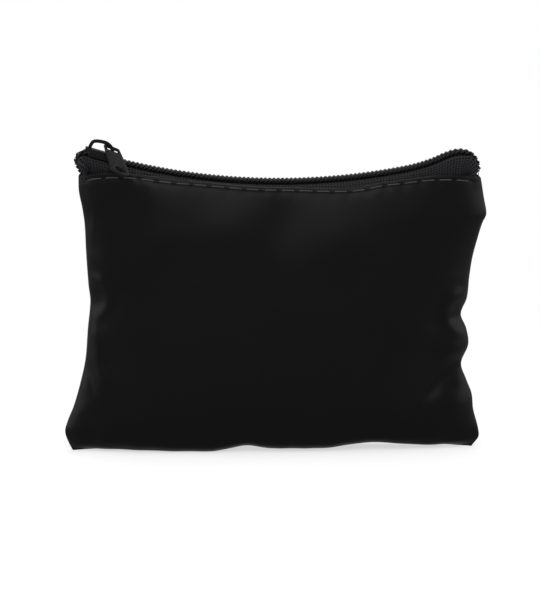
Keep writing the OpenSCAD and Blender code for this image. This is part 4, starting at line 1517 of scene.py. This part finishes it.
@dataclass
class Coil:
    """One half of the zip's nylon coil with its cord and the thread that sews it to the tape."""

    table: ChainTable
    side: Side
    nylon: bpy.types.Material
    yarn: bpy.types.Material
    pitch: float = 1.27
    # The wire's thickness, and its width along the chain, where the hot winding flattened it
    wire: float = 0.54
    leg_width: float = 1.1
    heel_width: float = 0.66
    head_width: float = 0.58
    # The loop: how far its head reaches past the middle, its outer side, its base and its top
    head: float = 0.3
    outer: float = 2.2
    base: float = 0.31
    top: float = 1.91
    bare_end: float = 0.2
    heel_deg: float = 62.0
    # Power of the loop's superellipse, and the cosines at which the head and the heel begin, with
    # the steps over which the wire takes their widths
    loop_power: float = 0.62
    head_from: float = 0.2
    head_over: float = 0.8
    heel_from: float = 0.3
    heel_over: float = 0.5
    stations: int = 26
    sides: int = 8
    # The cord inside the loops
    cord_radius: float = 0.62
    cord_flat: float = 0.42
    cord_step: float = 0.5
    cord_sides: int = 10
    # The sewing thread: over the loops, where it sinks between them, and along their feet
    sewing_radius: float = 0.12
    sewing_y: float = 1.42
    sewing_sink: float = 0.24
    sewing_wave: float = 0.2
    foot_out: float = 0.16
    foot_lift: float = 0.46
    foot_wave: float = 0.1
    sewing_steps: int = 10
    sewing_sides: int = 6

    @property
    def phase(self) -> float:
        """Where the first turn stands: the rear half is half a pitch on, so that the two mesh."""
        return 0.25 if self.side is Side.FRONT else 0.75

    def wire_path(self) -> tuple[np.ndarray, np.ndarray]:
        """The wire's own line: a rounded flat loop for each turn, which runs level across the
        chain above and below, and moves on by one pitch round its outer side.

        Across and up, the loop is a superellipse: the cosine and sine of the turn's angle, each
        raised to a power below 1 so that the loop has flat sides. The length along the chain grows
        by a smooth step while the angle passes the heel.

        Returns:
            Points in millimetres, shaped (points, 3), and half the wire's width at each, which is
            less at the heads, where the two halves mesh.
        """
        turns = math.floor((self.table.length - 2 * self.bare_end) / self.pitch) - 1
        angle = np.linspace(-math.pi, math.pi, self.stations, endpoint=False)
        angle = (angle[None, :] + 2 * math.pi * np.arange(turns)[:, None]).ravel()
        local = (angle + math.pi) % (2 * math.pi) - math.pi
        turn = np.floor((angle + math.pi) / (2 * math.pi))
        heel = math.radians(self.heel_deg)
        on = soft((local + heel) / (2 * heel))
        run = self.bare_end + (turn + on + self.phase) * self.pitch
        half_y = (self.outer + self.head - self.wire) / 2
        half_z = (self.top - self.base - self.wire) / 2
        across, up = np.cos(local), np.sin(local)
        loop_y = np.sign(across) * np.abs(across) ** self.loop_power * half_y
        loop_z = np.sign(up) * np.abs(up) ** self.loop_power * half_z
        y = loop_y + (self.outer - self.head) / 2
        z = loop_z + (self.top + self.base) / 2
        at_head = soft((-across - self.head_from) / self.head_over)
        at_heel = soft((across - self.heel_from) / self.heel_over)
        width = mix(mix(self.leg_width, self.head_width, at_head), self.heel_width, at_heel)
        return self.table.beside(run, self.side.value * y, z), width / 2

    def build(self) -> list[bpy.types.Object]:
        """Makes the wire, the cord inside it and the sewing thread over it.

        Returns:
            The three pieces.
        """
        label = self.side.name.lower()
        table, sign = self.table, self.side.value
        path, half = self.wire_path()
        rings = tube_rings(path, X_WAY, half, self.sides, flat=self.wire / self.leg_width)
        wire = closed_mesh(f"{label}_coil_wire", rings)
        wire.data.materials.append(self.nylon)

        run = np.arange(self.bare_end, table.length - self.bare_end, self.cord_step)
        middle_y = sign * (self.outer - self.head) / 2
        core_path = table.beside(run, middle_y, (self.base + self.top) / 2)
        rings = tube_rings(
            core_path, Y_WAY, self.cord_radius, self.cord_sides, flat=self.cord_flat
        )
        cord = closed_mesh(f"{label}_coil_core", rings)
        cord.data.materials.append(self.yarn)

        # The thread dips between the turns and passes over each wire
        step = self.pitch / self.sewing_steps
        run = np.arange(self.bare_end, table.length - self.bare_end, step)
        wave = np.cos(2 * math.pi * ((run - self.bare_end) / self.pitch - self.phase))
        lift = self.top - self.sewing_sink + self.sewing_wave * wave
        over = table.beside(run, sign * self.sewing_y, lift)
        lift = self.foot_lift + self.foot_wave * wave
        foot = table.beside(run, sign * (self.outer + self.foot_out), lift)
        rings = tube_rings(np.stack([over, foot]), Y_WAY, self.sewing_radius, self.sewing_sides)
        sewing = closed_mesh(f"{label}_coil_sewing", rings)
        sewing.data.materials.append(self.yarn)

        for piece, node in ((wire, "coil"), (cord, "coil_cord"), (sewing, "coil_thread")):
            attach(piece, Body.PURSE.value)
            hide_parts(f"{label}_{node}")
        return [wire, cord, sewing]


# The slider and its pull tab


@dataclass
class Slider:
    """The die-cast slider, its wire bail and the pull tab that hangs on it."""

    table: ChainTable
    paint: bpy.types.Material
    length: float = 9.4
    # How far the upper plate's nose stands out over the lower one, past the valley's end
    overhang: float = 1.3
    # The upper plate's top over the tape's middle, and the bail's clearance over that plate
    top: float = 2.63
    bail_wire: float = 1.05
    bail_clear: float = 2.18
    bail_steps: int = 90
    bail_sides: int = 20
    # Places of the bail from its nose to its tail, as shares of half the slider's length and of
    # the crown's height over the upper plate
    bail_shares: tuple[tuple[float, float], ...] = (
        (-0.752, -0.1), (-0.75, 0), (-0.734, 0.26), (-0.702, 0.52), (-0.634, 0.75), (-0.462, 0.9),
        (-0.215, 0.98), (0.017, 1), (0.149, 0.995), (0.29, 0.93), (0.42, 0.825), (0.54, 0.66),
        (0.63, 0.45), (0.7, 0.222), (0.749, 0), (0.766, -0.14),
    )
    # Roundings of the casting's and the tab's edges
    body_edge: float = 0.2
    tab_edge: float = 0.17

    def on_chain(self, local: np.ndarray) -> np.ndarray:
        """Puts points drawn level at the origin at the resting slider's place: they are moved down
        by the valley's radius, turned about Y by the slider's angle and moved to the centre.

        Args:
            local: Points in millimetres, with z = 0 at the tape's middle.

        Returns:
            The points in the frame of the purse.
        """
        chain = self.table.chain
        reach = chain.left_reach - self.length / 2 + self.overhang
        angle = math.asin(reach / chain.valley_radius)
        x, y, z = local[..., 0], local[..., 1], local[..., 2] - chain.valley_radius
        c, s = math.cos(angle), math.sin(angle)
        return points_of(chain.centre[0] + c * x + s * z, y, chain.centre[1] - s * x + c * z)

    def bail_path(self) -> np.ndarray:
        """The bail's own line: a smooth curve through its places, drawn as even steps.

        Returns:
            Points in the frame of the purse.
        """
        crown = self.bail_clear + self.bail_wire / 2
        knots = np.array(self.bail_shares) * [self.length / 2, crown]
        at = lengths_along(knots)
        even = np.linspace(0, at[-1], self.bail_steps)
        x = Knots(tuple(zip(at.tolist(), knots[:, 0].tolist()))).curve(even)
        z = Knots(tuple(zip(at.tolist(), knots[:, 1].tolist()))).curve(even)
        return self.on_chain(points_of(x, 0 * x, self.top + z))

    def build(self) -> list[bpy.types.Object]:
        """Makes the slider's body, its bail and the pull tab.

        Returns:
            The three pieces.
        """
        body = rounded_copy("slider_body", "slider_casting", self.body_edge)
        rings = tube_rings(self.bail_path(), Y_WAY, self.bail_wire / 2, self.bail_sides)
        bail = closed_mesh("slider_bail_wire", rings)
        tab = rounded_copy("pull_tab", "pull_tab_plate", self.tab_edge)
        rows = (
            (body, Body.SLIDER, "slider_body"), (bail, Body.SLIDER, "slider_bail"),
            (tab, Body.PULL, "pull_tab"),
        )
        for piece, carrier, node in rows:
            piece.data.materials.append(self.paint)
            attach(piece, carrier.value)
            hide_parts(node)
        return [body, bail, tab]


# The sewing


@dataclass
class Sewing:
    """All the sewing thread: the hems' top and bobbin stitches, and the hidden seams."""

    form: PurseForm
    row: StitchRow
    yarn: bpy.types.Material
    # The thread's diameter, and the length in which its two plies turn once
    thread: float = 0.36
    lay: float = 1.15
    stations: int = 26
    sides: int = 6
    # A hem's stitch: the bare cloth at its ends, how far it stands proud of the cloth and dives
    # into it, and where its bobbin stitch lies inside
    end_gap: float = 0.1
    proud: float = 0.06
    dive: float = 0.9
    dive_power: int = 8
    bobbin_depth: float = 2.4
    bobbin_dive: float = 0.7
    # The hidden seams: their stitches, the room inside the cloth, and the rows' first and last
    # place, in w at the sides and in s at the bottom
    seam_pitch: float = 3.2
    seam_stitch: float = 2.5
    seam_clear: float = 0.26
    side_shares: tuple[float, float] = (0.06, 0.93)
    bottom_shares: tuple[float, float] = (-0.94, 0.9)

    def dress(
        self, name: str, path: np.ndarray, across: np.ndarray, node: str
    ) -> bpy.types.Object:
        """Makes one piece of two-ply stitches.

        Args:
            name: Name of the piece.
            path: Points of each stitch, shaped (stitches, stations, 3).
            across: A direction that no stitch runs along.
            node: The construction's node that the piece stands for.

        Returns:
            The new piece.
        """
        rings = twisted(path, across, self.thread, self.lay, self.sides)
        piece = closed_mesh(name, rings)
        piece.data.materials.append(self.yarn)
        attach(piece, Body.PURSE.value)
        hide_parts(node)
        return piece

    def hem_stitches(self, side: Side) -> list[bpy.types.Object]:
        """The stitches that show on a hem, and the bobbin's stitches inside it.

        A top stitch lies on the cloth and dives into it at both ends: its depth grows by the
        eighth power of the share of the way from its middle to an end. A bobbin stitch rises
        towards the top ones in the same way.

        Args:
            side: Which hem.

        Returns:
            The two pieces.
        """
        label = side.name.lower()
        share = np.linspace(0, 1, self.stations)
        at_end = np.abs(2 * share - 1) ** self.dive_power
        flip = np.array([1, -1, 1]) if side is Side.REAR else 1
        run = self.end_gap + (self.row.length - 2 * self.end_gap) * share
        pieces = []
        for name, start, depth in (
            ("top", 0.0, self.dive * at_end - self.proud),
            ("bobbin", self.row.pitch / 2, self.bobbin_depth - self.bobbin_dive * at_end),
        ):
            s = self.row.places(start + run)
            path = self.form.below(s, self.row.row(s), np.broadcast_to(depth, s.shape)) * flip
            pieces.append(
                self.dress(f"{label}_{name}_thread", path, Z_WAY, f"{label}_{name}_stitches")
            )
        return pieces

    def seam_path(self, s: np.ndarray, w: np.ndarray) -> np.ndarray:
        """Points in the plane between the panels, inside the seam's line by the cloth, the room
        and half the thread.

        Args:
            s: Places from seam to seam.
            w: Places from the bottom to the hem.

        Returns:
            Points in millimetres.
        """
        depth = self.form.cloth + self.seam_clear + self.thread / 2
        along, up = self.form.slopes(s, w)
        if np.all(np.abs(s) == 1):
            out = np.sign(s)[..., None] * unit(points_of(up[..., 2], 0 * s, -up[..., 0]))
        else:
            out = unit(points_of(along[..., 2], 0 * s, -along[..., 0]))
        return (self.form.skin(s, w) - depth * out) * [1, 0, 1]

    def seams(self) -> list[bpy.types.Object]:
        """The three hidden rows that join the panels: up both sides and across the bottom.

        Returns:
            The three pieces.
        """
        share = np.linspace(0, 1, self.stations)[None, :]
        pieces = []
        step = self.seam_pitch / self.form.seam_top
        start = np.arange(self.side_shares[0], self.side_shares[1], step)[:, None]
        w = start + step * self.seam_stitch / self.seam_pitch * share
        for sign, label in ((-1.0, "left"), (1.0, "right")):
            path = self.seam_path(np.full_like(w, sign), w)
            pieces.append(
                self.dress(f"{label}_seam_thread", path, Y_WAY, f"{label}_seam_stitches")
            )
        step = self.seam_pitch / self.form.half_width
        start = np.arange(self.bottom_shares[0], self.bottom_shares[1], step)[:, None]
        s = start + step * self.seam_stitch / self.seam_pitch * share
        path = self.seam_path(s, np.zeros_like(s))
        pieces.append(self.dress("bottom_seam_thread", path, Y_WAY, "bottom_seam_stitches"))
        return pieces

    def build(self) -> list[bpy.types.Object]:
        """Makes every row of stitches."""
        return self.hem_stitches(Side.FRONT) + self.hem_stitches(Side.REAR) + self.seams()


# The stage


@dataclass
class Studio:
    """A pale floor, soft lamps and the camera at the photograph's angle."""

    frame_px: tuple[int, int] = (540, 610)
    mm_per_px: float = 0.293
    distance: float = 900.0
    yaw_deg: float = 3.0
    pitch_deg: float = 9.0
    target: tuple[float, float, float] = (-1.5, -4.0, 43.6)
    sensor: float = 36.0
    nearest: float = 10.0
    furthest: float = 50000.0
    # The floor lies just under the purse, and turns white between two distances
    floor_half: float = 6000.0
    floor_drop: float = 0.05
    floor_grey: float = 0.9
    floor_roughness: float = 0.9
    white_from: float = 70.0
    white_at: float = 300.0
    white_near_share: float = 0.6
    ambient: float = 0.45
    # Name, place, side and watts of each softbox, and the height that they face
    lamps: tuple[tuple[str, tuple[float, float, float], float, float], ...] = (
        ("key", (-50.0, -740.0, 480.0), 460.0, 4.4),
        ("left_strip", (-820.0, -120.0, 240.0), 700.0, 6.4),
        ("right_strip", (820.0, -120.0, 240.0), 700.0, 5.4),
        ("overhead", (0.0, 250.0, 900.0), 600.0, 3.0),
    )
    lamp_height: float = 40.0

    def camera(self) -> None:
        """Makes the camera, whose frame is as high as the photograph at the purse."""
        data = bpy.data.cameras.new("camera")
        data.sensor_width = self.sensor
        data.lens = self.sensor * self.distance / (self.frame_px[1] * self.mm_per_px)
        data.clip_start, data.clip_end = self.nearest * MM, self.furthest * MM
        camera = bpy.data.objects.new("camera", data)
        bpy.context.scene.collection.objects.link(camera)
        yaw, pitch = math.radians(self.yaw_deg), math.radians(self.pitch_deg)
        level = math.cos(pitch)
        back = np.array([-math.sin(yaw) * level, -math.cos(yaw) * level, math.sin(pitch)])
        camera.location = (np.array(self.target) + self.distance * back) * MM
        camera.rotation_euler = (math.pi / 2 - pitch, 0.0, -yaw)
        bpy.context.scene.camera = camera

    def lamp(self, name: str, place: tuple[float, float, float], size: float, power: float) -> None:
        """Adds a square softbox that faces the purse.

        Args:
            name: Name of the lamp.
            place: Where it stands, in millimetres.
            size: Length of its side, in millimetres.
            power: Its power in watts.
        """
        data = bpy.data.lights.new(name, "AREA")
        data.energy, data.size = power, size * MM
        lamp = bpy.data.objects.new(name, data)
        bpy.context.scene.collection.objects.link(lamp)
        lamp.location = np.array(place) * MM
        away = np.array(place) - self.lamp_height * Z_WAY
        pitch = math.atan2(math.hypot(away[0], away[1]), away[2])
        lamp.rotation_euler = (pitch, 0.0, math.atan2(away[0], -away[1]))

    def white_to_lenses(self, tree: bpy.types.NodeTree) -> bpy.types.NodeSocket:
        """The share of rays that see the pale background: camera, glossy and transmitted ones.

        Args:
            tree: The node tree that gets the nodes.

        Returns:
            A socket that is 1 for such a ray and 0 for others.
        """
        path = add_node(tree, "LightPath", {})
        first = add_node(
            tree, "Math", {0: path.outputs["Is Camera Ray"], 1: path.outputs["Is Glossy Ray"]},
            operation="MAXIMUM",
        )
        both = add_node(
            tree, "Math", {0: first.outputs[0], 1: path.outputs["Is Transmission Ray"]},
            operation="MAXIMUM",
        )
        return both.outputs[0]

    def world(self) -> None:
        """Lights everything evenly, and shows white to the camera and in reflections."""
        world = bpy.data.worlds.new("studio")
        bpy.context.scene.world = world
        world.use_nodes = True
        tree = world.node_tree
        seen = self.white_to_lenses(tree)
        strength = add_node(
            tree, "MapRange", {"Value": seen, "To Min": self.ambient, "To Max": 1.0}
        )
        background = tree.nodes["Background"]
        background.inputs["Color"].default_value = (1.0, 1.0, 1.0, 1.0)
        tree.links.new(strength.outputs[0], background.inputs["Strength"])

    def floor(self) -> None:
        """A wide pale floor that keeps the purse's soft shadow and turns white further out."""
        half, low = self.floor_half * MM, -self.floor_drop * MM
        mesh = bpy.data.meshes.new("floor")
        rim = ((-half, -half, low), (half, -half, low), (half, half, low), (-half, half, low))
        mesh.from_pydata(rim, [], [(0, 1, 2, 3)])
        floor = bpy.data.objects.new("floor", mesh)
        bpy.context.scene.collection.objects.link(floor)
        material = bpy.data.materials.new("painted_board")
        material.use_nodes = True
        tree = material.node_tree
        shader = tree.nodes["Principled BSDF"]
        grey = self.floor_grey
        shader.inputs["Base Color"].default_value = (grey, grey, grey, 1.0)
        shader.inputs["Roughness"].default_value = self.floor_roughness
        shader.inputs["Specular IOR Level"].default_value = 0.0
        white = add_node(tree, "Emission", {"Color": (1.0, 1.0, 1.0, 1.0), "Strength": 1.0})
        place = add_node(tree, "TexCoord", {}).outputs["Object"]
        reach = add_node(tree, "VectorMath", {0: place}, operation="LENGTH")
        far = add_node(
            tree, "MapRange",
            {"Value": reach.outputs["Value"], "From Min": self.white_from * MM,
             "From Max": self.white_at * MM, "To Min": self.white_near_share},
            interpolation_type="SMOOTHSTEP",
        )
        share = add_node(
            tree, "Math", {0: far.outputs[0], 1: self.white_to_lenses(tree)}, operation="MULTIPLY"
        )
        both = add_node(
            tree, "MixShader", {0: share.outputs[0], 1: shader.outputs[0], 2: white.outputs[0]}
        )
        tree.links.new(both.outputs[0], tree.nodes["Material Output"].inputs["Surface"])
        mesh.materials.append(material)

    def build(self) -> None:
        """Makes the camera, the world, the floor and the lamps."""
        bpy.context.scene.view_settings.view_transform = "Standard"
        self.camera()
        self.world()
        self.floor()
        for name, place, side, watts in self.lamps:
            self.lamp(name, place, side, watts)


def report(pieces: list[bpy.types.Object]) -> None:
    """Logs the triangles of each piece.

    Args:
        pieces: The pieces to log.
    """
    graph = bpy.context.evaluated_depsgraph_get()
    for piece in pieces:
        mesh = piece.evaluated_get(graph).to_mesh()
        mesh.calc_loop_triangles()
        log.info("%s: %d triangles", piece.name, len(mesh.loop_triangles))
        piece.evaluated_get(graph).to_mesh_clear()


def main() -> None:
    """Builds the purse from its cloth to its slider, then the stage."""
    logging.basicConfig(level=logging.INFO, format="%(name)s %(message)s")
    coat = CoatedCloth(
        "polyurethane_coated_cloth", "#060607", roughness=0.33, specular=0.05
    ).material()
    backing = KnittedBacking(
        "knitted_polyester_backing", "#141415", roughness=0.9, specular=0.2
    ).material()
    weave = WovenTape(
        "woven_polyester_tape", "#222224", roughness=0.85, specular=0.04
    ).material()
    nylon = DrawnNylon("drawn_nylon_wire", "#0e0e0f", roughness=0.4, specular=0.1).material()
    paint = PaintedZinc(
        "painted_die_cast_zinc", "#111112", roughness=0.5, specular=0.02
    ).material()
    yarn = SpunThread("spun_polyester_thread", "#434346", roughness=0.75, specular=0.2).material()
    # The black thread's pits get painted shade of near black
    black_yarn = SpunThread(
        "black_polyester_thread", "#0b0b0c", roughness=0.8, specular=0.05, pit_shade_colour="#040404"
    ).material()

    form = PurseForm()
    row = StitchRow(form)
    table = ChainTable(Chain(form))
    pieces = [Panel(form, row, side, coat, backing).build() for side in Side]
    pieces += [Tape(table, side, weave).build() for side in Side]
    for side in Side:
        pieces += Coil(table, side, nylon, black_yarn).build()
    pieces += Slider(table, paint).build()
    pieces += Sewing(form, row, yarn).build()
    report(pieces)
    Studio().build()


if __name__ == "__main__":
    main()
